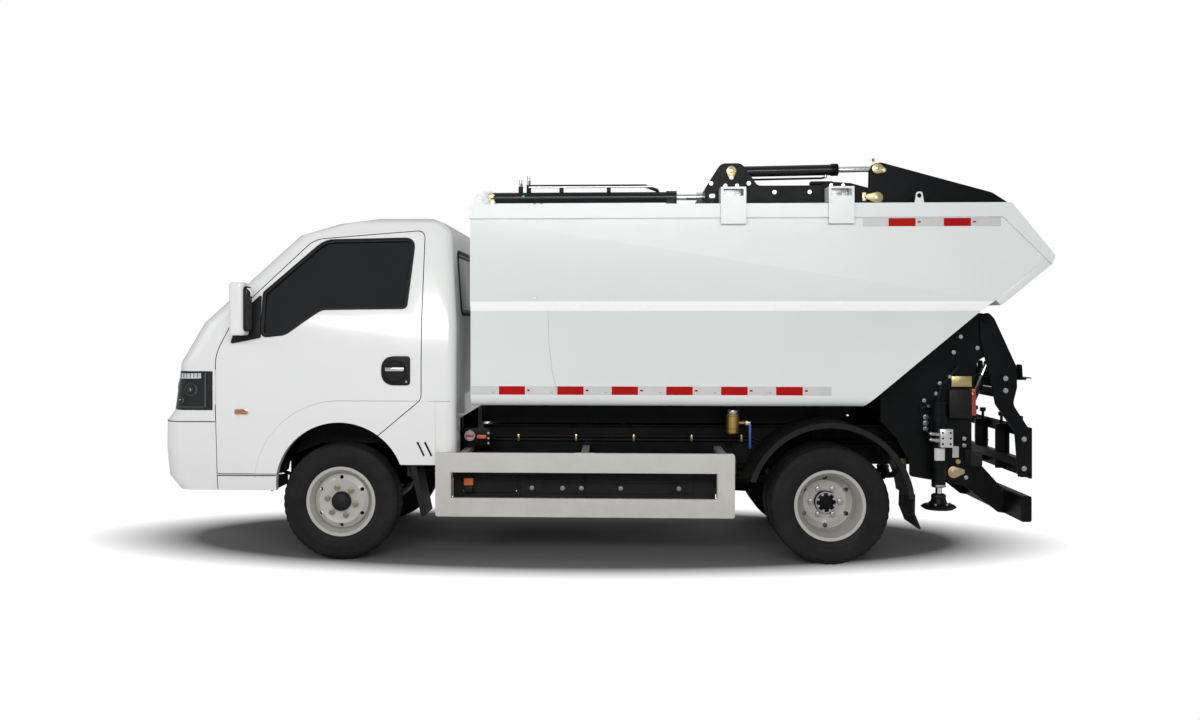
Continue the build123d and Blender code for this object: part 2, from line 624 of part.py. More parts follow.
def cab():
    """Cab shell with floor, doors, panes, lamps and bumper, all cut from one form."""
    outer = cab_loft(0.0) + both(arch_flare())
    shell = outer - cab_loft(CAB_WALL)
    opening = door_opening()
    door_face = door_prism()
    window = across(outline(WINDOW_OUTLINE, FX), 400.0, 900.0)
    pane_shape = across(offset(outline(WINDOW_OUTLINE, FX), -FIT), 400.0, 900.0)
    pane_shell = cab_loft(14.0) - cab_loft(14.0 + GLASS_T)

    door = shell & door_face
    door -= window
    keep("door_left", door)
    keep("door_right", other(door))
    pane = pane_shell & pane_shape
    keep("door_glass_left", pane)
    keep("door_glass_right", other(pane))

    body = shell - opening - other(opening)
    arch = pin_y((FX, ARCH_Z), ARCH_R, -900, 900)
    body -= arch
    body -= block(FX - 800, FX - 200, -900, 900, 300, 555)
    body -= block(FX - 200, FX + 369, -900, 900, 300, ARCH_Z)
    body -= block(FX - 700, FX - 560, -620, 620, 300, SEAT_FLOOR_Z - 30)

    screen_cut = along(outline(WINDSCREEN), FX + 100, FX + 1200)
    screen = pane_shell & along(offset(outline(WINDSCREEN), -FIT), FX + 100, FX + 1200)
    back_cut = along(outline(BACKLIGHT), FX - 900, FX - 400)
    back = pane_shell & along(offset(outline(BACKLIGHT), -FIT), FX - 900, FX - 400)
    body = body - screen_cut - back_cut
    keep("cab_glass", screen + back)

    front = block(BUMPER_BACK, FX + 1300, -900, 900, 300, BUMPER_TOP)
    slot = outline([(-GRILLE[0], GRILLE[1], 20.0), (-GRILLE[0] + 40, GRILLE[2], 20.0),
                    (GRILLE[0] - 40, GRILLE[2], 20.0), (GRILLE[0], GRILLE[1], 20.0)])
    bumper = (body & front) - along(slot, FX + 900, FX + 1300)
    bars = Part()
    for k in range(3):
        z = GRILLE[1] + 24 + 36 * k
        bars += block(FX + 1095, FX + 1106, -GRILLE[0] - 14, GRILLE[0] + 14, z, z + 10)
    bumper += bars & cab_loft(4.0)
    keep("front_bumper", bumper)
    body -= front

    x0, x1, y0, z0, z1 = LAMP
    lamp_zone = both(block(x0, x1, y0, 900, z0, z1))
    keep("headlamps", body & lamp_zone)
    body -= lamp_zone

    # floor: foot well, seat riser and the shelf over the wheels
    room = cab_loft(CAB_WALL - 2)
    floor = block(FX + 440, FX + 930, -700, 700, FLOOR_Z, FLOOR_Z + FLOOR_T)
    floor += block(FX + 910, FX + 930, -690, 690, FLOOR_Z, BUMPER_TOP + 30)
    floor += block(FX + 910, FX + 1200, -690, 690, BUMPER_TOP + 10, BUMPER_TOP + 30)
    floor += block(FX + 440, FX + 460, -900, 900, FLOOR_Z, SEAT_FLOOR_Z + FLOOR_T)
    floor += block(FX - 700, FX + 460, -900, 900, SEAT_FLOOR_Z, SEAT_FLOOR_Z + FLOOR_T)
    floor = floor & room
    sweep = block(FX - 800, FX + 800, 700, 900, 300, 2100)
    floor -= both(sweep)
    step = block(FX + 445, FX + 720, 700, 716, 450, FLOOR_Z + FLOOR_T)
    step += block(FX + 445, FX + 720, 700, 765, 450, 462)
    body += floor + both(step)
    for y in (-330.0, 330.0):
        body += block(FX - 560, FX - 520, y - 30, y + 30, RAIL_Z + RAIL_H, SEAT_FLOOR_Z + 4)
        body += block(FX + 860, FX + 880, y - 30, y + 30, RAIL_Z + RAIL_H, FLOOR_Z + 4)
    pin_x = DOOR_FRONT - 1.5
    body += both(upright(Pos(pin_x, 831.0) * Circle(3.0), 900.0, 1100.0))
    keep("cab_body", body)
    return shell


LINER_R = 412.0


def arch_liners():
    """Black half round liners over the front wheels, each with a flap behind the wheel."""
    ring = Pos(FX, ARCH_Z) * (Circle(LINER_R) - Circle(LINER_R - 6))
    zone = make_face(Polyline((FX - 560, ARCH_Z + 40), (FX - 560, ARCH_Z + 500), (FX + 560, ARCH_Z + 500),
                              (FX + 560, ARCH_Z + 60), close=True))
    liner = across(ring & zone, 440.0, 745.0)
    flap = outline([(FX - 405, 545.0, 0.0), (FX - 440, 545.0, 0.0), (FX - 500, 262.0, 12.0),
                    (FX - 470, 250.0, 12.0)])
    liner += across(flap, 560.0, 790.0)
    liner += block(FX - 420, FX - 380, 560, 745, 480, 545)
    liner += block(FX - 60, FX + 60, 460, 690, ARCH_Z + LINER_R - 10, SEAT_FLOOR_Z)
    return both(liner)


def seats():
    """Two seats: cushion, back and headrest each."""
    one = Part()
    top = SEAT_FLOOR_Z + FLOOR_T + FIT
    for y0, y1 in ((140.0, 590.0),):
        cushion = outline([(FX - 330, top, 30.0), (FX - 330, top + 130, 30.0), (FX + 170, top + 160, 50.0),
                           (FX + 190, top, 30.0)])
        back = outline([(FX - 470, top + 20, 30.0), (FX - 560, top + 640, 40.0), (FX - 450, top + 650, 40.0),
                        (FX - 325, top + 125, 10.0), (FX - 325, top + 20, 10.0)])
        head = outline([(FX - 570, top + 690, 30.0), (FX - 585, top + 860, 30.0), (FX - 495, top + 860, 30.0),
                        (FX - 470, top + 690, 30.0)])
        one += across(cushion, y0, y1) + across(back, y0, y1) + across(head, y0 + 110, y1 - 110)
        for y in (y0 + 160, y1 - 160):
            one += bar((FX - 505, y, top + 630), (FX - 520, y, top + 720), 7.0)
    return both(one)


def dashboard():
    """Moulded dashboard from pillar to pillar, with a hood over the dials."""
    side = outline([(FX + 860, 700.0, 40.0), (FX + 800, 1240.0, 60.0), (FX + 560, 1290.0, 60.0),
                    (FX + 500, 1180.0, 50.0), (FX + 560, 980.0, 60.0), (FX + 700, 700.0, 30.0)])
    dash = across(side, -640.0, 640.0)
    dash += both(block(FX + 735, FX + 775, 630, 830, 1110, 1180))
    dash &= cab_loft(CAB_WALL + FIT)
    hood = outline([(FX + 700, 1270.0, 0.0), (FX + 520, 1345.0, 25.0), (FX + 500, 1180.0, 0.0),
                    (FX + 700, 1180.0, 0.0)])
    x, y, z = STEER_HUB
    column = bar((x - 11, y, z + 16.6), (x + 440, y, z - 664), 22.0 + FIT)
    bracket = block(x + 50, x + 250, y - 40, y + 40, 990, 1040)
    return dash + across(hood, 190.0, 560.0) + bracket - column


STEER_HUB = (FX + 322.0, 375.0, 1180.0)


def steering_wheel():
    """Rim, three spokes, hub and column."""
    x, y, z = STEER_HUB
    tilt = Vector(-0.55, 0, 0.83)
    plane = Plane(origin=(x, y, z), x_dir=(0, 1, 0), z_dir=tilt)
    wheel = plane * Torus(190, 14)
    wheel += extrude(plane.offset(-14) * Circle(45), amount=22)
    for turn in (90.0, 210.0, 330.0):
        spoke = plane * Rot(0, 0, turn) * Pos(110, 0, -4) * Box(156, 30, 10)
        wheel += spoke
    drop = z - FLOOR_Z - FLOOR_T - FIT - 22.0 * 0.5524
    foot = Vector(x, y, z) - tilt.normalized() * (drop / 0.8336)
    return wheel + bar((foot.X, foot.Y, foot.Z), (x, y, z), 22.0)


MIRROR_Y = (845.0, 985.0)


def door_mirror():
    """Left mirror: triangular base on the door, two short arms and a tall housing."""
    base_shape = outline([(FX + 632, 1250.0, 8.0), (FX + 585, 1420.0, 20.0), (FX + 462, 1538.0, 8.0),
                          (FX + 455, 1285.0, 10.0)])
    skin = cab_loft(-9.0) - cab_loft(-FIT)
    base = skin & across(base_shape, 600.0, 900.0)
    y0, y1 = MIRROR_Y
    shape = [(-45.0, y0 + 15, 30.0), (-45.0, y1, 30.0), (45.0, y1 - 10, 34.0), (45.0, y0 + 6, 34.0)]
    house = upright(Pos(FX + 552, 0) * outline(shape), 1300.0, 1600.0)
    house = fillet(house.edges().group_by(Axis.Z)[-1] + house.edges().group_by(Axis.Z)[0], 16)
    for z in (1345.0, 1490.0):
        house += bar((FX + 545, 825.0 - (z - 1345) * 0.2, z), (FX + 552, y0 + 40, z + 6), 9.0)
    return base + house


# ---- container ----
def box_side(inset):
    """Side outline of the container; the tail rises behind the sloping floor."""
    wall = inset
    rise = math.atan2(SLOPE_END[1] - BOX_BOTTOM, SLOPE_START - SLOPE_END[0])
    lift = wall / math.cos(rise)
    top = RAILTOP_Z + (0 if wall == 0 else 200)
    rows = [
        (BOX_FRONT - wall, BOX_BOTTOM + wall, 0.0),
        (SLOPE_START + wall * 0.36, BOX_BOTTOM + wall, 0.0),
        (SLOPE_END[0], SLOPE_END[1] + lift, 0.0),
    ]
    if wall == 0:
        rows += [(*TAIL_STEP, 0.0), (*TAIL_LOW, 0.0), (*TAIL_TIP, 0.0), (*TAIL_TOP, 0.0)]
    else:
        rows += [(TAIL_LOW[0] - 60, TAIL_LOW[1] + lift + 70, 0.0), (TAIL_TOP[0] - 200, top, 0.0)]
    return outline([*rows, (BOX_FRONT - wall, top, 0.0)])


def box_section(inset):
    """Cross section of the container: upright sides, a waist band and rolled lower edges."""
    upper = BOX_HALF - inset
    lower = BOX_LOWER_HALF - inset
    bottom = BOX_BOTTOM + inset
    top = RAILTOP_Z + (0 if inset == 0 else 200)
    low, high = BOX_WAIST
    radius = BOX_EDGE_R - inset
    right = [(lower, bottom, radius), (lower, low, 0.0), (upper, high, 0.0), (upper, top, 0.0)]
    left = [(-y, z, r) for y, z, r in reversed(right)]
    return outline(right + left)


def container():
    """Open topped steel box with top rails, tail flange, ribs, ears and a front roof."""
    outer = across(box_side(0.0), -900, 900) & along(box_section(0.0), -2700, 800)
    inner = across(box_side(BOX_WALL), -900, 900) & along(box_section(BOX_WALL), -2700, 800)
    body = outer - inner
    y1 = BOX_HALF + TOPRAIL_PROUD
    y0 = y1 - TOPRAIL_W
    z0 = RAILTOP_Z - TOPRAIL_H
    rail = make_face(Polyline((BOX_FRONT + 6, z0), (BOX_FRONT + 6, RAILTOP_Z), (TAIL_TOP[0], RAILTOP_Z),
                              (TAIL_TIP[0], TAIL_TIP[1]), (TAIL_TIP[0] + 16, TAIL_TIP[1] - 52),
                              (TAIL_TOP[0] + 46, z0), close=True))
    body += both(across(rail, y0, y1))
    body += block(BOX_FRONT - 54, BOX_FRONT + 6, -y0 - 2, y0 + 2, z0, RAILTOP_Z)
    lip = make_face(Polyline((TAIL_LOW[0] + 40, TAIL_LOW[1] - 34), TAIL_LOW, TAIL_TIP,
                             (TAIL_TIP[0] + 44, TAIL_TIP[1] + 2), close=True))
    body += across(lip, -y0 - 2, y0 + 2)
    body += block(ROOF_END, BOX_FRONT - 50, -y0 - 2, y0 + 2, RAILTOP_Z - 8, RAILTOP_Z)
    for x in (BOX_FRONT - 50, TAIL_X + 748):
        ear = outline([(x - 26, RAILTOP_Z - 2, 0.0), (x - 16, RAILTOP_Z + 62, 15.0),
                       (x + 16, RAILTOP_Z + 62, 15.0), (x + 26, RAILTOP_Z - 2, 0.0)])
        ear -= Pos(x, RAILTOP_Z + 40) * Circle(13)
        body += both(across(ear, y1 - 16, y1 - 4))
    return body


TIP_BEAM = (RAIL_OUT - 70.0, RAIL_OUT - 48.0)


def tipping_frame():
    """Black beams under the container, with the hinge ears and the eye of the tipping ram."""
    y0, y1 = TIP_BEAM
    top = BOX_BOTTOM
    pivot_x, pivot_z = TIP
    low = RAIL_Z + RAIL_H + SUBFRAME_H + 8
    beam = make_face(Polyline((BOX_FRONT - 60, low), (BOX_FRONT - 60, top), (SLOPE_START - 30, top),
                              slope_point(SLOPE_START - 60, 0.0), slope_point(pivot_x - 2, 0.0),
                              slope_point(pivot_x - 2, 52.0), slope_point(SLOPE_START - 120, 52.0),
                              (SLOPE_START + 60, low), close=True))
    side = across(beam, y0, y1)
    ear = make_face(Polyline(slope_point(pivot_x - 2, 30.0), slope_point(pivot_x + 130, 30.0),
                             (pivot_x + 30, pivot_z - 30), (pivot_x - 30, pivot_z - 30), close=True))
    ear += Pos(pivot_x, pivot_z) * Circle(TIP_EAR_R)
    side += across(ear, TIP_EAR_Y, TIP_EAR_Y + EAR_T)
    side -= pin_y(TIP, TIP_PIN_R + FIT, y0 - 20, y1 + 20)
    frame = both(side)
    for x in (BOX_FRONT - 130, (FX + RX) / 2 - 28, RAM_BASE[0] - 32):
        frame += block(x - 35, x + 35, -y0 - 2, y0 + 2, low + 20, top)
    eye_x, eye_z = RAM_EYE
    clevis = make_face(Polyline((eye_x - 60, top), (eye_x - 34, eye_z - 20), (eye_x + 34, eye_z - 20),
                                (eye_x + 70, top), close=True))
    frame += both(across(clevis, 56.0, 70.0))
    frame += both(block(eye_x - 60, eye_x + 70, 50, y0 + 2, top - 14, top))
    return frame


def ram_way():
    """Length and direction of the tipping ram at rest."""
    base, eye = Vector(RAM_BASE[0], 0, RAM_BASE[1]), Vector(RAM_EYE[0], 0, RAM_EYE[1])
    return base, (eye - base).normalized(), (eye - base).length


RAM_R = 46.0
RAM_ROD_R = 30.0


def tip_ram():
    """Barrel and rod of the tipping ram, between its pin on the frame and its eye."""
    base, way, length = ram_way()
    mouth = length - 74
    barrel = bar(tuple(base + way * 30), tuple(base + way * mouth), RAM_R)
    barrel += pin_y(RAM_BASE, 34.0, -30, 30)
    barrel -= bar(tuple(base + way * 60), tuple(base + way * (mouth + 10)), RAM_ROD_R + FIT)
    barrel -= pin_y(RAM_BASE, 16.0 + FIT, -60, 60)
    rod = bar(tuple(base + way * 70), tuple(base + way * (length - 10)), RAM_ROD_R)
    rod += pin_y(RAM_EYE, 32.0, -28, 28)
    rod -= pin_y(RAM_EYE, 16.0, -60, 60)
    keep("tip_barrel", barrel)
    keep("tip_rod", rod)


def slide_cylinders():
    """Pair of long cylinders on the front of the container that move the carriage."""
    start, mouth = SLIDE_BARREL
    barrel = bar((start, SLIDE_Y, SLIDE_Z), (mouth, SLIDE_Y, SLIDE_Z), SLIDE_R)
    barrel += bar((mouth + 60, SLIDE_Y, SLIDE_Z), (mouth, SLIDE_Y, SLIDE_Z), SLIDE_R + 6)
    barrel -= bar((start - 90, SLIDE_Y, SLIDE_Z), (mouth - 10, SLIDE_Y, SLIDE_Z), SLIDE_ROD_R + FIT)
    barrel += block(start - 4, start + 40, SLIDE_Y - 12, SLIDE_Y + 12, SLIDE_Z - 30, SLIDE_Z + 30)
    foot = make_face(Polyline((start - 40, RAILTOP_Z), (start - 6, SLIDE_Z + 42), (start + 44, SLIDE_Z + 42),
                              (start + 80, RAILTOP_Z), close=True))
    for y in (SLIDE_Y - 26, SLIDE_Y + 12):
        barrel += across(foot, y, y + 14)
    barrel += block(mouth + 10, mouth + 60, SLIDE_Y - 36, SLIDE_Y + 36, RAILTOP_Z, SLIDE_Z)
    barrel -= bar((start - 90, SLIDE_Y, SLIDE_Z), (mouth - 10, SLIDE_Y, SLIDE_Z), SLIDE_ROD_R + FIT)
    keep("slide_barrels", both(barrel))
    rod = bar((start - 100, SLIDE_Y, SLIDE_Z), (CARRIAGE_FRONT, SLIDE_Y, SLIDE_Z), SLIDE_ROD_R)
    rod += bar((CARRIAGE_FRONT + 34, SLIDE_Y, SLIDE_Z), (CARRIAGE_FRONT, SLIDE_Y, SLIDE_Z), SLIDE_ROD_R + 10)
    keep("slide_rods", both(rod))


SHOES = (TAIL_X + 1786.0, TAIL_X + 1184.0)
SHOE_W = 142.0


def carriage():
    """Sliding carriage: two boxed side plates, cross tubes and four shoes that grip the top rails."""
    low = RAILTOP_Z + RUN + 2
    pin_x, pin_z = PACK_BARREL_PIN
    piv_x, piv_z = PACK_PIVOT
    plate = outline([
        (CARRIAGE_FRONT, low, 0.0),
        (CARRIAGE_FRONT, low + 90, 70.0),
        (pin_x + 60, pin_z + 44, 50.0),
        (pin_x - 60, pin_z + 44, 50.0),
        (pin_x - 150, low + 106, 40.0),
        (TAIL_X + 1278, low + 106, 0.0),
        (RX, low + 128, 15.0),
        (TAIL_X + 1108, low + 118, 20.0),
        (piv_x - 34, piv_z + 36, 30.0),
        (piv_x - 44, low, 20.0),
    ])
    frame = across(plate, *PACK_OUTER) + across(plate, *PACK_INNER)
    frame += pin_y(PACK_PIVOT, PACK_PIN_R, PACK_INNER[0], PACK_OUTER[1] + 10)
    frame += pin_y(PACK_BARREL_PIN, PACK_PIN_R, PACK_INNER[0], PACK_OUTER[1] + 8)
    frame += block(CARRIAGE_FRONT - 12, CARRIAGE_FRONT, -PACK_OUTER[0], PACK_OUTER[0], low, low + 88)
    frame += block(TAIL_X + 1488, TAIL_X + 1548, PACK_INNER[1] - 2, PACK_OUTER[0] + 2, low, low + 60)
    top_inner = BOX_HALF + TOPRAIL_PROUD + RUN + 2
    for x in SHOES:
        frame += block(x - SHOE_W / 2, x + SHOE_W / 2, PACK_OUTER[1] - 2, top_inner + 2, low, low + 12)
        shoe = block(x - SHOE_W / 2, x + SHOE_W / 2, top_inner, top_inner + 10, RAILTOP_Z - 116, RAILTOP_Z + 92)
        shoe += block(x - SHOE_W / 2, x + SHOE_W / 2, top_inner - 58, top_inner + 10, RAILTOP_Z - 116,
                      RAILTOP_Z - TOPRAIL_H - RUN - 2) & block(x - 200, x + 200, BOX_HALF + RUN + 1, 900,
                                                               1900, RAILTOP_Z)
        for a, b in ((x - SHOE_W / 2, x - SHOE_W / 2 + 8), (x + SHOE_W / 2 - 8, x + SHOE_W / 2)):
            shoe += block(a, b, PACK_OUTER[1] - 2, top_inner + 2, low, RAILTOP_Z + 92)
        shoe -= block(x - SHOE_W / 2 + 14, x + SHOE_W / 2 - 14, top_inner - 5, top_inner + 15,
                      RAILTOP_Z + 40, RAILTOP_Z + 80)
        frame += shoe
    frame = both(frame)
    for x in (CARRIAGE_FRONT - 70, TAIL_X + 1178):
        frame += pin_y((x, low + 50), 36.0, -PACK_INNER[0] - 2, PACK_INNER[0] + 2)
    return frame


def packer_arm():
    """Swinging packer: four arm plates, a torque tube and a curved blade between them."""
    px, pz = PACK_PIVOT
    ex, ez = PACK_EYE
    tx, tz = PACK_TIP
    side = outline([
        (px + 36, pz - 20, 20.0),
        (px + 34, pz + 40, 40.0),
        (ex + 38, ez + 24, 34.0),
        (ex - 20, ez + 34, 30.0),
        (tx + 130, tz + 124, 90.0),
        (tx + 2, tz + 40, 60.0),
        (tx + 16, tz - 50, 40.0),
        (px - 220, pz - 64, 60.0),
        (px - 20, pz - 40, 30.0),
    ])
    side -= Pos(px, pz) * Circle(PACK_PIN_R + FIT)
    side -= Pos(ex, ez) * Circle(PACK_PIN_R)
    arm = across(side, *ARM_OUTER) + across(side, *ARM_INNER)
    rear = outline([(px - 320, pz - 70, 0.0), (px - 320, pz + 90, 0.0), (tx + 160, tz + 60, 0.0),
                    (tx + 60, tz - 30, 0.0)])
    arm += across(rear, ARM_INNER[1] - 1, ARM_OUTER[0] + 1)
    arm = both(arm)
    arm += pin_y((px - 150, pz - 12), 40.0, -ARM_INNER[0] - 2, ARM_INNER[0] + 2)
    skin = make_face(Polyline((px - 150, pz - 40), (px - 230, pz - 58), (tx + 120, tz - 46), (tx + 20, tz - 42),
                              (tx + 14, tz + 10), (tx + 24, tz + 10), (tx + 30, tz - 32), (tx + 120, tz - 36),
                              (px - 230, pz - 48), (px - 150, pz - 30), close=True))
    return arm + across(skin, -ARM_INNER[0] - 2, ARM_INNER[0] + 2)


PACK_MOUTH = TAIL_X + 1170.0


def arm_cylinders():
    """Pair of cylinders that swing the packer; each rod ends between the arm plates."""
    pin_x, pin_z = PACK_BARREL_PIN
    ex, ez = PACK_EYE
    y = PACK_LANE
    way = (Vector(ex, y, ez) - Vector(pin_x, y, pin_z))
    length = way.length
    way = way.normalized()
    base = Vector(pin_x, y, pin_z)
    mouth = pin_x - PACK_MOUTH
    barrel = bar(tuple(base + way * 26), tuple(base + way * mouth), PACK_BARREL_R)
    barrel += pin_y(PACK_BARREL_PIN, 34.0, y - 24, y + 24)
    barrel -= bar(tuple(base + way * 60), tuple(base + way * (mouth + 10)), PACK_ROD_R + FIT)
    barrel -= pin_y(PACK_BARREL_PIN, PACK_PIN_R + FIT, y - 60, y + 60)
    rod = bar(tuple(base + way * 250), tuple(base + way * (length - 10)), PACK_ROD_R)
    rod += pin_y(PACK_EYE, 27.0, y - 14, y + 14)
    rod -= pin_y(PACK_EYE, PACK_PIN_R, y - 60, y + 60)
    keep("packer_barrels", both(barrel))
    keep("packer_rods", both(rod))


# ---- bin lifter ----
def lifter_frame():
    """Two arms on the frame hinge, tied by tubes, with the lower backstop frame."""
    hx, hz = LIFT
    y0, y1 = LIFT_ARM_Y
    side = outline([
        (hx + 34, hz + 10, 20.0),
        (hx - 10, hz + 44, 30.0),
        (hx - 50, hz, 30.0),
        (TAIL_X + 138, 1120.0, 30.0),
        (TAIL_X + 134, 1000.0, 20.0),
        (TAIL_X + 158, 900.0, 60.0),
        (TAIL_X + 62, 752.0, 20.0),
        (TAIL_X + 62, 480.0, 20.0),
        (TAIL_X + 128, 480.0, 20.0),
        (TAIL_X + 148, 740.0, 40.0),
        (TAIL_X + 258, 900.0, 40.0),
        (TAIL_X + 278, 1010.0, 60.0),
        (hx + 30, hz - 120, 60.0),
    ])
    side -= Pos(hx, hz) * Circle(LIFT_PIN_R + FIT)
    frame = both(across(side, y0, y1))
    for x, z in ((TAIL_X + 208.0, 960.0), (TAIL_X + 98.0, 560.0)):
        frame += block(x - 24, x + 24, -y0 - 2, y0 + 2, z - 24, z + 24)
    stop = [(-620.0, 470.0, 8.0), (-620.0, 764.0, 8.0), (620.0, 764.0, 8.0), (620.0, 470.0, 8.0)]
    plate = outline(stop)
    for y in (-570.0, -165.0, 240.0):
        plate -= outline([(y, 530.0, 8.0), (y, 700.0, 8.0), (y + 330, 700.0, 8.0), (y + 330, 530.0, 8.0)])
    frame += along(plate, TAIL_X + 46, TAIL_X + 58)
    for y in (-600.0, -200.0, 200.0, 600.0):
        frame += block(TAIL_X + 56, TAIL_X + 118, y - 10, y + 10, 480, 750)
    ex, ez = LIFT_EYE
    lug = outline([(TAIL_X + 198, 965.0, 0.0), (ex - 26, ez + 10, 20.0), (ex + 26, ez + 10, 20.0),
                   (TAIL_X + 230, 965.0, 0.0)])
    lug += Pos(ex, ez) * Circle(28)
    lug -= Pos(ex, ez) * Circle(15)
    for y in (LIFT_LANE - 34, LIFT_LANE + 22):
        frame += both(across(lug, y, y + 12))
    return frame


def lifter_comb():
    """Toothed comb that catches the rim of a bin, with its shelf and stiffener."""
    x0 = TAIL_X + 178
    half = LIFT_ARM_Y[0] - FIT
    comb = block(x0 - 100, x0, -half, half, 1040, 1052)
    comb += block(x0 - 12, x0 - FIT, -half, half, 984.5, 1050)
    comb += block(x0 - 150, x0 - 96, -560, 560, 1046, 1052)
    tooth = outline([(-44.0, 1050.0, 0.0), (-34.0, 1128.0, 20.0), (34.0, 1128.0, 20.0), (44.0, 1050.0, 0.0)])
    for k in range(10):
        y = -540.0 + 120.0 * k
        comb += along(Pos(y, 0) * tooth, x0 - 92, x0 - 80)
        comb += block(x0 - 82, x0 - 10, y - 4, y + 4, 1050, 1090)
    return comb


LIFT_R = 30.0
LIFT_ROD_R = 16.0


def lift_cylinders():
    """Pair of cylinders between the rear frame and the lifter arms."""
    bx, bz = LIFT_BASE
    ex, ez = LIFT_EYE
    y = LIFT_LANE
    base = Vector(bx, y, bz)
    way = Vector(ex, y, ez) - base
    length = way.length
    way = way.normalized()
    mouth = length - 150
    barrel = bar(tuple(base + way * 20), tuple(base + way * mouth), LIFT_R)
    barrel += pin_y(LIFT_BASE, 26.0, y - 22, y + 22)
    barrel -= bar(tuple(base + way * 50), tuple(base + way * (mouth + 10)), LIFT_ROD_R + FIT)
    barrel -= pin_y(LIFT_BASE, 14.0 + FIT, y - 60, y + 60)
    rod = bar(tuple(base + way * 90), tuple(base + way * (length - 10)), LIFT_ROD_R)
    rod += pin_y(LIFT_EYE, 24.0, y - 16, y + 16)
    rod -= pin_y(LIFT_EYE, 15.0, y - 60, y + 60)
    keep("lifter_barrels", both(barrel))
    keep("lifter_rods", both(rod))


def tail_lamps():
    """Lamp blocks on brackets below the frame plates."""
    y0 = FRAME_PLATE_Y + FRAME_PLATE_T
    lamp = block(TAIL_X + 372, TAIL_X + 438, y0 + 34, y0 + 150, 560, 640)
    lamp = fillet(lamp.edges(), 6)
    arm = block(TAIL_X + 408, TAIL_X + 428, y0, y0 + 40, 580, 600)
    return both(lamp + arm)


def build():
    wheels()
    keep("knuckle_left", knuckle())
    keep("knuckle_right", other(knuckle()))
    keep("front_axle", front_axle())
    keep("rear_axle", rear_axle())
    keep("leaf_springs", springs())
    keep("chassis_frame", chassis_frame())
    keep("drive_motor", drive_motor())
    keep("battery_box", battery_box())
    keep("side_guards", side_guards())
    keep("rear_fenders", rear_fenders())
    keep("rear_frame", rear_frame())
    keep("stabiliser_tubes", stabiliser_tubes())
    keep("leg_left", leg())
    keep("leg_right", other(leg()))
    keep("underrun_beam", underrun_beam())
    keep("tail_lamps", tail_lamps())
    cab()
    keep("arch_liners", arch_liners())
    keep("seats", seats())
    keep("dashboard", dashboard())
    keep("steering_wheel", steering_wheel())
    keep("mirror_left", door_mirror())
    keep("mirror_right", other(door_mirror()))
    keep("container", container())
    keep("tipping_frame", tipping_frame())
    tip_ram()
    slide_cylinders()
    keep("carriage", carriage())
    keep("packer_arm", packer_arm())
    arm_cylinders()
    keep("lifter_frame", lifter_frame())
    keep("lifter_comb", lifter_comb())
    lift_cylinders()


build()
os.makedirs("parts", exist_ok=True)
for node, shape in PARTS.items():
    export_step(shape, f"parts/{node}.step")
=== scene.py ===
import json
import math

import bmesh
import bpy
from mathutils import Matrix, Vector
from mathutils.bvhtree import BVHTree


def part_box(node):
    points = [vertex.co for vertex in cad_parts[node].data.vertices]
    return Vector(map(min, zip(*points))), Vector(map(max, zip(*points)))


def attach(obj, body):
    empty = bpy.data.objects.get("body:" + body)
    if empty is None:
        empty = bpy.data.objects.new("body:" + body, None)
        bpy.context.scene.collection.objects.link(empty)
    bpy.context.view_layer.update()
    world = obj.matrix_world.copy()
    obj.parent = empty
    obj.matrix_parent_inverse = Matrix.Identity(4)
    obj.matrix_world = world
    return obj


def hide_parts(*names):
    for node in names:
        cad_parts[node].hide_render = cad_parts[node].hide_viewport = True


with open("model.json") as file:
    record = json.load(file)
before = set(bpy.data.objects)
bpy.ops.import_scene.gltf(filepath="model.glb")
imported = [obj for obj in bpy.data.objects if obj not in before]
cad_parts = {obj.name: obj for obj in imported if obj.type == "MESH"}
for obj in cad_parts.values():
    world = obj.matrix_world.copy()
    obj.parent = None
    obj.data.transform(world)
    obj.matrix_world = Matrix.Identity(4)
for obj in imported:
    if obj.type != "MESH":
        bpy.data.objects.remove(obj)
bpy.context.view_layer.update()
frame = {"nodes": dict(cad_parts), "record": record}

bl_info = {
    "name": "Light refuse truck",
    "version": (1, 0, 0),
    "blender": (4, 5, 0),
    "location": "3D View > Sidebar > Truck",
    "description": "Dresses a light refuse truck around its packed frame",
    "category": "Object",
}


def middle(node):
    """Middle of a node's box."""
    low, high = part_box(node)
    return (low + high) / 2


FRONT_HUB = middle("front_tyre_left")
REAR_HUB = middle("rear_tyres_left")
TYRE_R = (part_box("front_tyre_left")[1].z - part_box("front_tyre_left")[0].z) / 2
TYRE_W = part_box("front_tyre_left")[1].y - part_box("front_tyre_left")[0].y
RIM_R = 0.1905
TWIN_PITCH = 0.21
FX = FRONT_HUB.x
RX = REAR_HUB.x
AXLE_Z = FRONT_HUB.z
OUTER_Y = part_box("rear_tyres_left")[1].y - TYRE_W / 2
INNER_Y = OUTER_Y - TWIN_PITCH
TAIL_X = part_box("container")[0].x
BOX_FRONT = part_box("container")[1].x - 0.006
SIDE_Y = 0.835
ARCH_Z = 0.421

# The camera looks level at the left side, turned a little from square on; its shift frames the truck.
CAMERA_AT = (-0.149, 7.35, 1.376)
CAMERA_TURN = math.radians(2.5)
LENS_MM = 34.38
SHIFT = (0.0275, -0.0317)


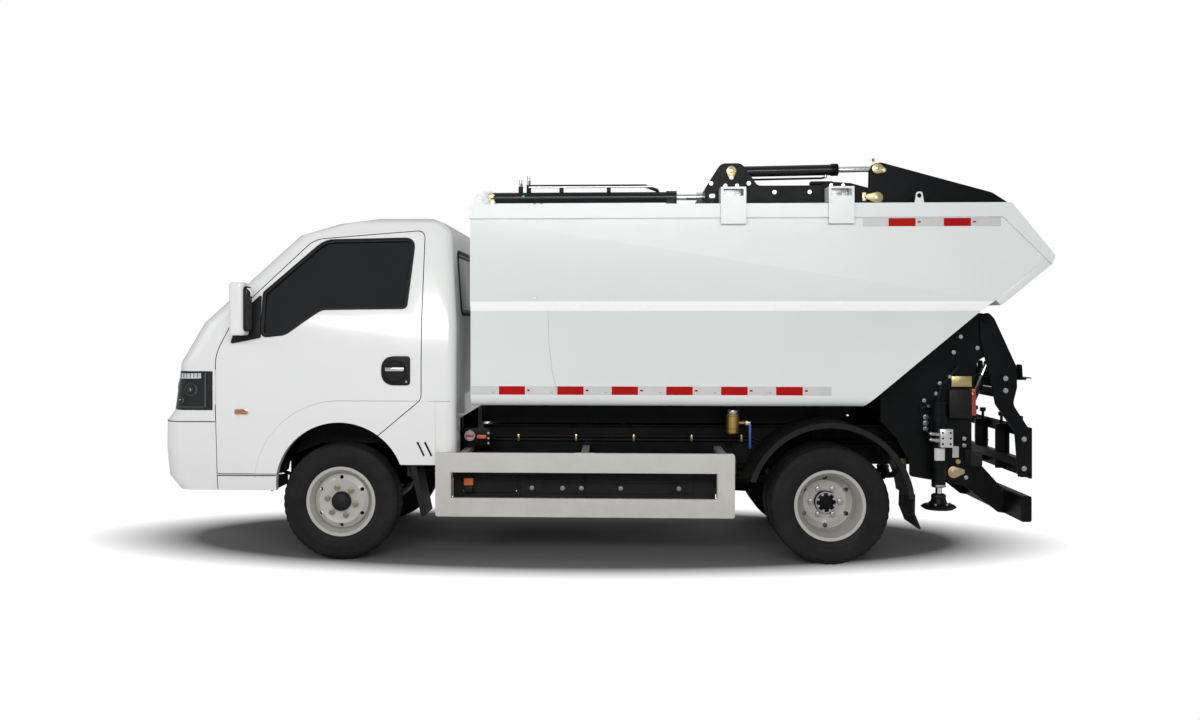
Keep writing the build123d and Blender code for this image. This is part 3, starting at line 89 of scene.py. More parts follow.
# ---- properties ----
class TruckColours(bpy.types.PropertyGroup):
    """Colours of the finishes."""

    cab_white: bpy.props.FloatVectorProperty(
        name="Cab white", description="Paint of the cab", subtype="COLOR", size=4,
        min=0, max=1, default=(0.80, 0.81, 0.80, 1))
    box_white: bpy.props.FloatVectorProperty(
        name="Container white", description="Paint of the container", subtype="COLOR", size=4,
        min=0, max=1, default=(0.74, 0.77, 0.765, 1))
    black: bpy.props.FloatVectorProperty(
        name="Frame black", description="Paint of frame, packer and lifter", subtype="COLOR", size=4,
        min=0, max=1, default=(0.0050, 0.0058, 0.0068, 1))
    rubber: bpy.props.FloatVectorProperty(
        name="Rubber", description="Tyres and seals", subtype="COLOR", size=4,
        min=0, max=1, default=(0.011, 0.011, 0.0115, 1))
    rim_silver: bpy.props.FloatVectorProperty(
        name="Rim silver", description="Paint of the wheel rims", subtype="COLOR", size=4,
        min=0, max=1, default=(0.50, 0.49, 0.46, 1))
    guard_metal: bpy.props.FloatVectorProperty(
        name="Guard metal", description="Aluminium of the side guards", subtype="COLOR", size=4,
        min=0, max=1, default=(0.60, 0.59, 0.56, 1))
    zinc: bpy.props.FloatVectorProperty(
        name="Yellow zinc", description="Keeper plates, nuts and pins", subtype="COLOR", size=4,
        min=0, max=1, default=(0.55, 0.44, 0.20, 1))
    tape_red: bpy.props.FloatVectorProperty(
        name="Tape red", description="Red of the reflective tape", subtype="COLOR", size=4,
        min=0, max=1, default=(0.46, 0.002, 0.002, 1))


class TruckSizes(bpy.types.PropertyGroup):
    """Sizes that a user may change."""

    tread_depth: bpy.props.FloatProperty(
        name="Tread depth", description="Depth of the grooves of the tyres", unit="LENGTH",
        min=0.002, max=0.016, default=0.009)
    tape_width: bpy.props.FloatProperty(
        name="Tape width", description="Height of the reflective tape", unit="LENGTH",
        min=0.03, max=0.08, default=0.05)
    tape_block: bpy.props.FloatProperty(
        name="Tape block", description="Length of one colour of the tape", unit="LENGTH",
        min=0.1, max=0.3, default=0.15)
    nut_circle: bpy.props.FloatProperty(
        name="Nut circle", description="Radius of the circle of wheel nuts", unit="LENGTH",
        min=0.05, max=0.12, default=0.0835)


# ---- shader node groups ----
def new_group(name, inputs, outputs):
    """Node group with named float inputs (name, default) and outputs (name, kind)."""
    group = bpy.data.node_groups.new(name, "ShaderNodeTree")
    for label, value in inputs:
        socket = group.interface.new_socket(label, in_out="INPUT", socket_type="NodeSocketFloat")
        socket.default_value = value
    for label, kind in outputs:
        group.interface.new_socket(label, in_out="OUTPUT", socket_type=kind)
    return group, group.nodes.new("NodeGroupInput"), group.nodes.new("NodeGroupOutput")


def feed(tree, socket, value):
    """Gives a socket a number or a colour, or links another socket to it."""
    if isinstance(value, (int, float)):
        socket.default_value = value
    elif isinstance(value, (tuple, list)):
        socket.default_value = (*value[:3], 1.0)
    else:
        tree.links.new(value, socket)


def object_coords(tree):
    """Place on the piece, in metres."""
    return tree.nodes.new("ShaderNodeTexCoord").outputs["Object"]


def noise_node(tree, coords, scale, detail=4.0, rough=0.55):
    """Cloudy noise between 0 and 1."""
    node = tree.nodes.new("ShaderNodeTexNoise")
    node.inputs["Detail"].default_value = detail
    node.inputs["Roughness"].default_value = rough
    feed(tree, node.inputs["Scale"], scale)
    tree.links.new(coords, node.inputs["Vector"])
    return node.outputs["Fac"]


def wave_node(tree, coords, direction, scale):
    """Parallel bands across one direction."""
    node = tree.nodes.new("ShaderNodeTexWave")
    node.bands_direction = direction
    node.inputs["Scale"].default_value = scale
    tree.links.new(coords, node.inputs["Vector"])
    return node.outputs["Fac"]


def ramp_range(tree, value, low, high, out_low=0.0, out_high=1.0):
    """Value carried from one range to another."""
    node = tree.nodes.new("ShaderNodeMapRange")
    node.inputs["From Min"].default_value = low
    node.inputs["From Max"].default_value = high
    node.inputs["To Min"].default_value = out_low
    node.inputs["To Max"].default_value = out_high
    tree.links.new(value, node.inputs["Value"])
    return node.outputs["Result"]


def math_node(tree, operation, a, b):
    """Result of one sum on numbers or sockets."""
    node = tree.nodes.new("ShaderNodeMath")
    node.operation = operation
    feed(tree, node.inputs[0], a)
    feed(tree, node.inputs[1], b)
    return node.outputs[0]


def add_bump(tree, shader, height, distance, strength=1.0):
    """Relief of a surface, from a height socket."""
    node = tree.nodes.new("ShaderNodeBump")
    node.inputs["Distance"].default_value = distance
    node.inputs["Strength"].default_value = strength
    tree.links.new(height, node.inputs["Height"])
    tree.links.new(node.outputs[0], shader.inputs["Normal"])


def grime_and_shade_group():
    """Dust and dried spray, on the cab also painted shade of the bumper's chin and the sill: strongest near
    the ground, broken up by noise.
    """
    group, source, sink = new_group(
        "Road grime", [("Scale", 6.0), ("Top", 1.0), ("Amount", 0.4)], [("Mask", "NodeSocketFloat")])
    coords = object_coords(group)
    split = group.nodes.new("ShaderNodeSeparateXYZ")
    group.links.new(coords, split.inputs[0])
    height = group.nodes.new("ShaderNodeMapRange")
    group.links.new(split.outputs["Z"], height.inputs["Value"])
    height.inputs["From Min"].default_value = 0.15
    group.links.new(source.outputs["Top"], height.inputs["From Max"])
    height.inputs["To Min"].default_value = 1.0
    height.inputs["To Max"].default_value = 0.0
    cloud = noise_node(group, coords, source.outputs["Scale"], 6.0, 0.65)
    broken = ramp_range(group, cloud, 0.35, 0.75)
    mixed = math_node(group, "MULTIPLY", height.outputs["Result"], broken)
    group.links.new(math_node(group, "MULTIPLY", mixed, source.outputs["Amount"]), sink.inputs["Mask"])
    return group


def mottle_group():
    """Slow change of tone and fast change of roughness over a painted surface."""
    group, source, sink = new_group(
        "Paint mottle", [("Scale", 3.0), ("Fine", 220.0)],
        [("Tone", "NodeSocketFloat"), ("Gloss", "NodeSocketFloat"), ("Height", "NodeSocketFloat")])
    coords = object_coords(group)
    slow = noise_node(group, coords, source.outputs["Scale"], 3.0)
    fast = noise_node(group, coords, source.outputs["Fine"], 2.0)
    patch = noise_node(group, coords, 14.0, 5.0, 0.7)
    group.links.new(ramp_range(group, slow, 0.3, 0.7), sink.inputs["Tone"])
    group.links.new(ramp_range(group, patch, 0.35, 0.7), sink.inputs["Gloss"])
    group.links.new(fast, sink.inputs["Height"])
    return group


def scratch_group():
    """Thin scratches and worn spots that follow the long way of a piece."""
    group, source, sink = new_group(
        "Handling wear", [("Scale", 30.0), ("Stretch", 8.0), ("Amount", 0.5)], [("Mask", "NodeSocketFloat")])
    coords = object_coords(group)
    mapping = group.nodes.new("ShaderNodeMapping")
    group.links.new(coords, mapping.inputs["Vector"])
    scale = group.nodes.new("ShaderNodeCombineXYZ")
    scale.inputs["Y"].default_value = 1.0
    scale.inputs["X"].default_value = 1.0
    group.links.new(source.outputs["Stretch"], scale.inputs["Z"])
    group.links.new(scale.outputs[0], mapping.inputs["Scale"])
    fine = noise_node(group, mapping.outputs[0], source.outputs["Scale"], 8.0, 0.75)
    mask = ramp_range(group, fine, 0.62, 0.72)
    group.links.new(math_node(group, "MULTIPLY", mask, source.outputs["Amount"]), sink.inputs["Mask"])
    return group


GROUP_MAKERS = {"grime_and_shade": grime_and_shade_group, "mottle": mottle_group, "wear": scratch_group}
GROUPS = {}


def group_in(material, name):
    """Places a shared group in a material, and builds it at its first use."""
    if name not in GROUPS:
        GROUPS[name] = GROUP_MAKERS[name]()
    node = material.node_tree.nodes.new("ShaderNodeGroup")
    node.node_tree = GROUPS[name]
    return node


# ---- materials ----
def shader_of(name):
    """New material with its node tree and its shader."""
    material = bpy.data.materials.new(name)
    material.use_nodes = True
    return material, material.node_tree, material.node_tree.nodes["Principled BSDF"]


def mix_colour(tree, factor, first, second):
    """Colour between two, each a value or a socket."""
    node = tree.nodes.new("ShaderNodeMix")
    node.data_type = "RGBA"
    feed(tree, node.inputs[6], first)
    feed(tree, node.inputs[7], second)
    tree.links.new(factor, node.inputs[0])
    return node.outputs[2]


def scaled(colour, factor):
    """Colour made darker or lighter."""
    return tuple(c * factor for c in colour[:3])


def painted(name, colour, rough=0.3, metallic=0.0, coat=0.0, dirt_and_shade=0.25, dirt_and_shade_top=0.9, tone=0.94,
            bump=0.0006, dust=(0.20, 0.18, 0.15), wear=0.0, bare=(0.30, 0.29, 0.27), fine=220.0, shine=0.5):
    """Paint, plastic or metal: uneven tone and gloss, orange peel, dust low down (on the cab also painted
    shade) and rubbed spots.
    """
    material, tree, shader = shader_of(name)
    mottle = group_in(material, "mottle")
    mottle.inputs["Fine"].default_value = fine
    grime_and_shade = group_in(material, "grime_and_shade")
    grime_and_shade.inputs["Amount"].default_value = dirt_and_shade
    grime_and_shade.inputs["Top"].default_value = dirt_and_shade_top
    base = mix_colour(tree, mottle.outputs["Tone"], scaled(colour, tone), colour)
    if wear > 0:
        rubbed = group_in(material, "wear")
        rubbed.inputs["Amount"].default_value = wear
        base = mix_colour(tree, rubbed.outputs["Mask"], base, bare)
    base = mix_colour(tree, grime_and_shade.outputs["Mask"], base, dust)
    tree.links.new(base, shader.inputs["Base Color"])
    gloss = ramp_range(tree, mottle.outputs["Gloss"], 0.0, 1.0, rough * 0.85, min(1.0, rough * 1.2))
    dusty = math_node(tree, "MULTIPLY", grime_and_shade.outputs["Mask"], 0.5)
    tree.links.new(math_node(tree, "ADD", gloss, dusty), shader.inputs["Roughness"])
    if bump > 0:
        add_bump(tree, shader, mottle.outputs["Height"], bump, 0.6)
    shader.inputs["Specular IOR Level"].default_value = shine
    shader.inputs["Metallic"].default_value = metallic
    shader.inputs["Coat Weight"].default_value = coat
    shader.inputs["Coat Roughness"].default_value = 0.08
    return material


def glass(name, colour, transmission, rough=0.03):
    """Glass with faint streaks of dust; the tint is in its colour."""
    material, tree, shader = shader_of(name)
    mottle = group_in(material, "mottle")
    base = mix_colour(tree, mottle.outputs["Tone"], scaled(colour, 0.85), colour)
    tree.links.new(base, shader.inputs["Base Color"])
    gloss = ramp_range(tree, mottle.outputs["Gloss"], 0.0, 1.0, rough, rough + 0.05)
    tree.links.new(gloss, shader.inputs["Roughness"])
    shader.inputs["Transmission Weight"].default_value = transmission
    shader.inputs["IOR"].default_value = 1.45
    return material


def lens(name, colour, rough=0.12):
    """Moulded lens: fine prism lines over a deep colour."""
    material, tree, shader = shader_of(name)
    lines = wave_node(tree, object_coords(tree), "Z", 60.0)
    base = mix_colour(tree, lines, scaled(colour, 0.6), colour)
    tree.links.new(base, shader.inputs["Base Color"])
    add_bump(tree, shader, lines, 0.001)
    shader.inputs["Roughness"].default_value = rough
    shader.inputs["Coat Weight"].default_value = 0.8
    return material


def woven(name, colour):
    """Cloth with a small weave."""
    material, tree, shader = shader_of(name)
    coords = object_coords(tree)
    threads = [wave_node(tree, coords, direction, 160.0) for direction in ("Y", "Z")]
    weave = math_node(tree, "MULTIPLY", *threads)
    tree.links.new(mix_colour(tree, weave, scaled(colour, 0.55), colour), shader.inputs["Base Color"])
    add_bump(tree, shader, weave, 0.001)
    shader.inputs["Roughness"].default_value = 0.9
    shader.inputs["Sheen Weight"].default_value = 0.3
    return material


def brushed(name, colour, rough=0.35, stretch=(1.0, 60.0, 60.0), metallic=1.0):
    """Drawn or rolled metal with lines along X."""
    material, tree, shader = shader_of(name)
    mapping = tree.nodes.new("ShaderNodeMapping")
    mapping.inputs["Scale"].default_value = stretch
    tree.links.new(object_coords(tree), mapping.inputs["Vector"])
    lines = noise_node(tree, mapping.outputs[0], 9.0, 6.0, 0.7)
    grime_and_shade = group_in(material, "grime_and_shade")
    grime_and_shade.inputs["Amount"].default_value = 0.3
    base = mix_colour(tree, lines, scaled(colour, 0.88), colour)
    base = mix_colour(tree, grime_and_shade.outputs["Mask"], base, (0.25, 0.23, 0.20))
    tree.links.new(base, shader.inputs["Base Color"])
    tree.links.new(ramp_range(tree, lines, 0.3, 0.7, rough * 0.8, rough * 1.2), shader.inputs["Roughness"])
    shader.inputs["Metallic"].default_value = metallic
    return material


MATERIALS = {}


def make_materials(colours):
    """Every finish of the truck, by a maker's plain name."""
    black = tuple(colours.black)
    MATERIALS.update({
        # On the cab the low dust is partly painted shade: it darkens the bumper's chin and the sill lip.
        "cab_white": painted("Cab white", tuple(colours.cab_white), rough=0.22, coat=0.6, dirt_and_shade=0.16,
                             dirt_and_shade_top=0.75, tone=0.985, bump=0.0002),
        "box_white": painted("Container white", tuple(colours.box_white), rough=0.34, coat=0.2, dirt_and_shade=0.08,
                             dirt_and_shade_top=1.3, tone=0.97, bump=0.0003, wear=0.02, bare=(0.55, 0.56, 0.56)),
        # The waist band is a lighter white than the container: painted highlight for the light that its face
        # catches from above.
        "waist_white": painted("Waist painted highlight", (0.97, 0.97, 0.965), rough=0.25, coat=0.3, dirt_and_shade=0.0, tone=0.99,
                               bump=0.0002),
        "black": painted("Frame black", black, rough=0.36, dirt_and_shade=0.12, dirt_and_shade_top=1.0, tone=0.5, bump=0.0004,
                         wear=0.06, bare=(0.03, 0.03, 0.03), dust=(0.06, 0.055, 0.05), shine=0.09),
        "black_gloss": painted("Packer black", black, rough=0.32, dirt_and_shade=0.02, tone=0.6, bump=0.0003, wear=0.05,
                               bare=(0.04, 0.04, 0.04), shine=0.08),
        "barrel_black": painted("Cylinder black", scaled(black, 1.5), rough=0.24, dirt_and_shade=0.02, tone=0.6,
                                bump=0.0003, wear=0.05, bare=(0.05, 0.05, 0.05), shine=0.38),
        "plastic": painted("Black plastic", (0.008, 0.008, 0.009), rough=0.5, dirt_and_shade=0.16, dirt_and_shade_top=0.8,
                           tone=0.7, bump=0.0008, fine=420.0, dust=(0.08, 0.075, 0.07), shine=0.2),
        "rubber": painted("Tyre rubber", tuple(colours.rubber), rough=0.62, dirt_and_shade=0.22, dirt_and_shade_top=0.75,
                          tone=0.7, bump=0.0008, fine=300.0, dust=(0.05, 0.048, 0.045), shine=0.16),
        "seal": painted("Seal rubber", (0.006, 0.006, 0.007), rough=0.45, dirt_and_shade=0.0, tone=0.8, shine=0.2),
        "crease": painted("Crease shade", (0.42, 0.43, 0.43), rough=0.4, dirt_and_shade=0.0, tone=0.92),
        "rim": painted("Rim silver", tuple(colours.rim_silver), rough=0.38, metallic=0.35, dirt_and_shade=0.35,
                       dirt_and_shade_top=0.6, tone=0.93, bump=0.0004),
        "guard": brushed("Guard metal", tuple(colours.guard_metal), rough=0.42, metallic=0.45),
        "zinc": painted("Yellow zinc", tuple(colours.zinc), rough=0.32, metallic=0.9, dirt_and_shade=0.1, tone=0.75,
                        bump=0.0004, fine=90.0),
        "steel": brushed("Plain steel", (0.46, 0.46, 0.47), rough=0.3),
        "chrome": painted("Ground rod", (0.72, 0.72, 0.73), rough=0.10, metallic=1.0, dirt_and_shade=0.0, tone=0.95,
                          bump=0.0),
        "tinted": glass("Tinted glass", (0.012, 0.014, 0.017), 0.25),
        "mirror_face": painted("Mirror face", (0.75, 0.77, 0.78), rough=0.04, metallic=1.0, dirt_and_shade=0.0,
                               tone=0.98, bump=0.0),
        "clear": glass("Clear cover", (0.75, 0.78, 0.80), 0.9, 0.02),
        "smoked": glass("Smoked cover", (0.10, 0.11, 0.12), 0.75, 0.03),
        "reflector": painted("Bright block", (0.62, 0.62, 0.61), rough=0.28, metallic=0.6, dirt_and_shade=0.0, tone=0.8,
                             bump=0.0004),
        "lamp_ring": painted("Lamp ring", (0.20, 0.21, 0.23), rough=0.12, metallic=1.0, dirt_and_shade=0.0, tone=0.7),
        "red_lens": lens("Red lens", (0.45, 0.008, 0.008)),
        "amber_lens": lens("Amber lens", (0.62, 0.17, 0.02)),
        "orange": painted("Orange plastic", (0.72, 0.13, 0.02), rough=0.45, dirt_and_shade=0.2, tone=0.85),
        "green": painted("Green cap", (0.03, 0.35, 0.22), rough=0.4, dirt_and_shade=0.0, tone=0.85),
        "brass": painted("Brass", (0.52, 0.33, 0.10), rough=0.3, metallic=0.85, dirt_and_shade=0.05, tone=0.7,
                         fine=90.0),
        "olive": painted("Olive nut", (0.30, 0.28, 0.17), rough=0.35, metallic=0.6, dirt_and_shade=0.2, tone=0.7,
                         fine=90.0),
        "bronze": painted("Olive zinc", (0.16, 0.15, 0.09), rough=0.42, metallic=0.5, dirt_and_shade=0.2, tone=0.7),
        "lamp_black": painted("Lamp black", (0.006, 0.007, 0.008), rough=0.10, dirt_and_shade=0.0, tone=0.6, bump=0.0,
                              shine=0.55),
        # Light strip of the lamps; the same finish also makes the small discs of painted highlight in the
        # optics.
        "lamp_strip_and_highlight": painted("Lamp strip and painted highlight", (0.62, 0.66, 0.70), rough=0.15, coat=1.0, dirt_and_shade=0.0, tone=0.85, bump=0.0),
        "red": painted("Red plastic", (0.55, 0.02, 0.015), rough=0.4, dirt_and_shade=0.1, tone=0.85),
        "blue": painted("Blue plastic", (0.03, 0.12, 0.40), rough=0.45, dirt_and_shade=0.1, tone=0.85),
        "tape_red": painted("Red tape", tuple(colours.tape_red), rough=0.35, dirt_and_shade=0.05, tone=0.82,
                            bump=0.0003, fine=700.0, dust=(0.20, 0.05, 0.04), shine=0.1),
        "tape_white": painted("White tape", (0.60, 0.60, 0.585), rough=0.3, coat=0.3, dirt_and_shade=0.05, tone=0.90,
                              bump=0.0003, fine=700.0),
        "label": painted("Blank label", (0.62, 0.62, 0.60), rough=0.5, dirt_and_shade=0.2, tone=0.9),
        "cloth": woven("Woven cloth", (0.05, 0.05, 0.055)),
        "interior": painted("Cab trim", (0.035, 0.036, 0.040), rough=0.7, dirt_and_shade=0.0, tone=0.8, bump=0.001,
                            fine=380.0),
    })


# ---- mesh helpers ----
class Piece:
    """One mesh under construction, with its list of finishes."""

    def __init__(self, name):
        self.name = name
        self.bm = bmesh.new()
        self.finishes = []

    def index(self, finish):
        if finish not in self.finishes:
            self.finishes.append(finish)
        return self.finishes.index(finish)

    def paint(self, faces, finish):
        slot = self.index(finish)
        for face in faces:
            face.material_index = slot

    def soften(self, before, edges, reach, finish):
        """Rounds edges and paints every face made since the set was taken."""
        if reach > 0:
            bmesh.ops.bevel(self.bm, geom=edges, offset=reach, affect="EDGES", segments=2, profile=0.5,
                            material=-1)
        faces = [f for f in self.bm.faces if f not in before]
        self.paint(faces, finish)
        return faces

    def box(self, low, high, finish, round_edges=0.0):
        """Block between two corners, its edges rounded."""
        before = set(self.bm.faces)
        made = bmesh.ops.create_cube(self.bm, size=1.0)["verts"]
        size = [h - l for l, h in zip(low, high)]
        centre = [(h + l) / 2 for l, h in zip(low, high)]
        bmesh.ops.scale(self.bm, vec=size, verts=made)
        bmesh.ops.translate(self.bm, vec=centre, verts=made)
        edges = list({e for v in made for e in v.link_edges})
        return self.soften(before, edges, min(round_edges, min(size) * 0.45), finish)

    def side_box(self, sign, x, y, z, finish, round_edges=0.0):
        """Block between pairs of coordinates, on the left side or mirrored to the right one."""
        near, far = sorted((sign * y[0], sign * y[1]))
        return self.box((x[0], near, z[0]), (x[1], far, z[1]), finish, round_edges)

    def rod(self, start, end, radius, finish, radius_end=None, sides=20, round_edges=0.0):
        """Round bar or cone between two points."""
        start, end = Vector(start), Vector(end)
        way = end - start
        turn = way.to_track_quat("Z", "Y").to_matrix().to_4x4()
        place = Matrix.Translation((start + end) / 2) @ turn
        top = radius if radius_end is None else radius_end
        before = set(self.bm.faces)
        made = bmesh.ops.create_cone(self.bm, cap_ends=True, segments=sides, radius1=radius, radius2=top,
                                     depth=way.length, matrix=place)["verts"]
        edges = {e for v in made for e in v.link_edges}
        rims = [e for e in edges if any(len(f.verts) > 4 for f in e.link_faces)]
        return self.soften(before, rims, round_edges, finish)

    def ball(self, centre, radius, finish, flatten=(1, 1, 1), sides=16):
        """Ball, flattened by a factor along each axis."""
        place = Matrix.Translation(centre) @ Matrix.Diagonal((*flatten, 1))
        made = bmesh.ops.create_uvsphere(self.bm, u_segments=sides, v_segments=sides // 2, radius=radius,
                                         matrix=place)["verts"]
        self.paint({f for v in made for f in v.link_faces}, finish)

    def plate(self, points, low, high, finish, plane="XZ", round_edges=0.0):
        """Flat outline extruded across: XZ goes along Y, YZ along X, XY along Z."""
        place = {"XZ": lambda a, b: (a, low, b), "YZ": lambda a, b: (low, a, b),
                 "XY": lambda a, b: (a, b, low)}[plane]
        way = {"XZ": (0, high - low, 0), "YZ": (high - low, 0, 0), "XY": (0, 0, high - low)}[plane]
        before = set(self.bm.faces)
        verts = [self.bm.verts.new(place(a, b)) for a, b in points]
        base = self.bm.faces.new(verts)
        grown = bmesh.ops.extrude_face_region(self.bm, geom=[base])["geom"]
        tops = [g for g in grown if isinstance(g, bmesh.types.BMVert)]
        bmesh.ops.translate(self.bm, vec=way, verts=tops)
        faces = {f for v in verts + tops for f in v.link_faces}
        bmesh.ops.recalc_face_normals(self.bm, faces=list(faces))
        edges = list({e for f in faces for e in f.edges if e.calc_face_angle(0) > 0.5})
        return self.soften(before, edges, round_edges, finish)

    def lathe(self, rows, centre, finish, steps=64, axis="Y", closed=True):
        """Profile rows (along, radius) turned about an axis through the centre."""
        unit = {"X": Vector((1, 0, 0)), "Y": Vector((0, 1, 0)), "Z": Vector((0, 0, 1))}[axis]
        side = Vector((0, 0, 1)) if axis != "Z" else Vector((1, 0, 0))
        centre = Vector(centre)
        verts = [self.bm.verts.new(centre + unit * a + side * r) for a, r in rows]
        edges = [self.bm.edges.new((a, b)) for a, b in zip(verts, verts[1:])]
        if closed:
            edges.append(self.bm.edges.new((verts[-1], verts[0])))
        before = set(self.bm.faces)
        bmesh.ops.spin(self.bm, geom=verts + edges, cent=centre, axis=unit, angle=math.tau, steps=steps,
                       use_merge=True, use_duplicate=False)
        faces = [f for f in self.bm.faces if f not in before]
        points = list({v for f in faces for v in f.verts})
        bmesh.ops.remove_doubles(self.bm, verts=points, dist=1e-6)
        faces = [f for f in self.bm.faces if f not in before]
        bmesh.ops.recalc_face_normals(self.bm, faces=faces)
        self.paint(faces, finish)
        return faces

    def tube(self, points, radius, finish, sides=10):
        """Rigid pipe through points, bent at each, with round elbows."""
        points = [Vector(p) for p in points]
        for a, b in zip(points, points[1:]):
            self.rod(a, b, radius, finish, sides=sides)
        for p in points[1:-1]:
            self.ball(p, radius * 1.02, finish, sides=sides)

    def hex_nut(self, at, axis, size, height, finish):
        """Hexagon with a chamfered stud through it."""
        at, axis = Vector(at), Vector(axis).normalized()
        self.rod(at, at + axis * height, size, finish, sides=6, round_edges=size * 0.08)
        self.rod(at + axis * height, at + axis * height * 1.45, size * 0.5, finish, sides=10)

    def bolt(self, at, axis, size, finish="steel"):
        """Bolt head on its washer."""
        at, axis = Vector(at), Vector(axis).normalized()
        self.rod(at, at + axis * size * 0.25, size * 1.5, finish, sides=12)
        self.rod(at + axis * size * 0.25, at + axis * size, size, finish, sides=6)

    def finish(self, body, slot, replaces=(), smooth=32.0, bevel=0.0):
        """Turns the mesh into an object that rides on its body."""
        mesh = bpy.data.meshes.new(self.name)
        for face in self.bm.faces:
            face.smooth = True
        for edge in self.bm.edges:
            edge.smooth = edge.calc_face_angle(0.0) < math.radians(smooth)
        self.bm.to_mesh(mesh)
        self.bm.free()
        for name in self.finishes:
            mesh.materials.append(MATERIALS[name])
        piece = bpy.data.objects.new(self.name, mesh)
        bpy.context.scene.collection.objects.link(piece)
        if bevel > 0:
            rounding = piece.modifiers.new("Edges", "BEVEL")
            rounding.width = bevel
            rounding.segments = 2
            rounding.limit_method = "ANGLE"
            rounding.angle_limit = math.radians(40)
            rounding.harden_normals = True
        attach(piece, body)
        if replaces:
            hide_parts(*replaces)
        return piece


BODY_OF = {node: body for body, nodes in frame["record"]["behaviour"]["bodies"].items() for node in nodes}
SLOT_OF = {row["node"]: row["material_slot"] for row in frame["record"]["subparts"]}


def dressed(node, finish, bevel=0.0, smooth=34.0, choose=None):
    """Merged copy of a CAD node with rounded edges; choose(centre, normal) may name another finish."""
    piece = Piece(node + "_skin")
    piece.bm.from_mesh(frame["nodes"][node].data)
    bmesh.ops.remove_doubles(piece.bm, verts=piece.bm.verts, dist=2e-5)
    bmesh.ops.dissolve_limit(piece.bm, angle_limit=math.radians(0.6), verts=piece.bm.verts,
                             edges=piece.bm.edges, delimit={"NORMAL"})
    piece.paint(piece.bm.faces, finish)
    if choose:
        for face in piece.bm.faces:
            picked = choose(face.calc_center_median(), face.normal)
            if picked:
                face.material_index = piece.index(picked)
    return piece.finish(BODY_OF[node], SLOT_OF[node], (node,), smooth, bevel)


SIDES = ("left", "right")


def mirrored(side):
    """Sign of Y on a side."""
    return 1 if side == "left" else -1


def turned(rows, sign):
    """Profile rows that face outwards on either side."""
    return [(sign * along, radius) for along, radius in rows]


class TruckOperator(bpy.types.Operator):
    """Base of the truck's operators."""

    bl_options = {"REGISTER"}


# ---- wheels ----
RIBS_HALF = 0.062
SHOULDER_Y = 0.0715


def tyre_rows(depth):
    """Section of a highway tyre: bead, bulged side wall with two raised bands, five ribs."""
    half = TYRE_W / 2
    seat = RIM_R + 0.0005
    top = TYRE_R
    side = [
        (half - 0.0245, seat), (half - 0.018, seat + 0.006), (half - 0.010, seat + 0.018),
        (half - 0.003, seat + 0.034), (half - 0.001, seat + 0.040), (half - 0.001, seat + 0.046),
        (half - 0.0025, seat + 0.048), (half - 0.001, seat + 0.062), (half - 0.0005, seat + 0.072),
        (half - 0.002, seat + 0.090), (half - 0.004, top - 0.040), (half - 0.0035, top - 0.036),
        (half - 0.0075, top - 0.022), (half - 0.012, top - 0.010), (half - 0.020, top - 0.003),
    ]
    ribs = []
    for groove in (0.052, 0.018):
        for y, drop in ((groove + 0.005, 0.0015), (groove + 0.003, depth), (groove - 0.003, depth),
                        (groove - 0.005, 0.0008)):
            ribs.append((y, top - drop))
    rows = side + ribs
    return rows + [(-y, r) for y, r in reversed(rows)]


def add_tyre(piece, hub, middle_y, depth):
    """Tyre with zigzag ribs and shoulder blocks."""
    steps = 144
    rows = tyre_rows(depth)
    before = set(piece.bm.verts)
    piece.lathe(rows, (hub.x, middle_y, hub.z), "rubber", steps=steps)
    for vert in piece.bm.verts:
        if vert in before:
            continue
        y = vert.co.y - middle_y
        around = Vector((vert.co.x - hub.x, 0, vert.co.z - hub.z))
        radius = around.length
        step = round(math.atan2(around.z, around.x) / math.tau * steps) % steps
        if abs(y) < RIBS_HALF and radius > TYRE_R - depth - 0.001:
            vert.co.y += 0.0022 * (1 if step % 4 < 2 else -1)
        if abs(y) >= SHOULDER_Y and radius > TYRE_R - 0.024 and step % 3 == 0:
            vert.co -= around.normalized() * 0.004


def add_front_hub(piece, sign, radius):
    """Nuts, cap and valve of a front wheel."""
    face = (FRONT_HUB.y + 0.0545) * sign
    out = Vector((0, sign, 0))
    for k in range(6):
        turn = math.radians(60 * k + 12)
        at = Vector((FX + radius * math.cos(turn), face, AXLE_Z + radius * math.sin(turn)))
        piece.rod(at - out * 0.004, at + out * 0.004, 0.019, "rim", sides=20)
        piece.hex_nut(at + out * 0.003, out, 0.0165, 0.016, "olive")
    cap = [(0.0, 0.057), (0.020, 0.055), (0.030, 0.047), (0.033, 0.033), (0.036, 0.028), (0.038, 0.001)]
    piece.lathe(turned(cap, sign), (FX, face, AXLE_Z), "plastic", steps=40, closed=False)
    near, far = sorted((face, face + sign * 0.0012))
    piece.box((FX + 0.002, near, AXLE_Z + 0.114), (FX + 0.052, far, AXLE_Z + 0.130), "label")
    piece.rod((FX + 0.12, face - sign * 0.02, AXLE_Z + 0.11),
              (FX + 0.135, face + sign * 0.012, AXLE_Z + 0.125), 0.0045, "steel", sides=10)


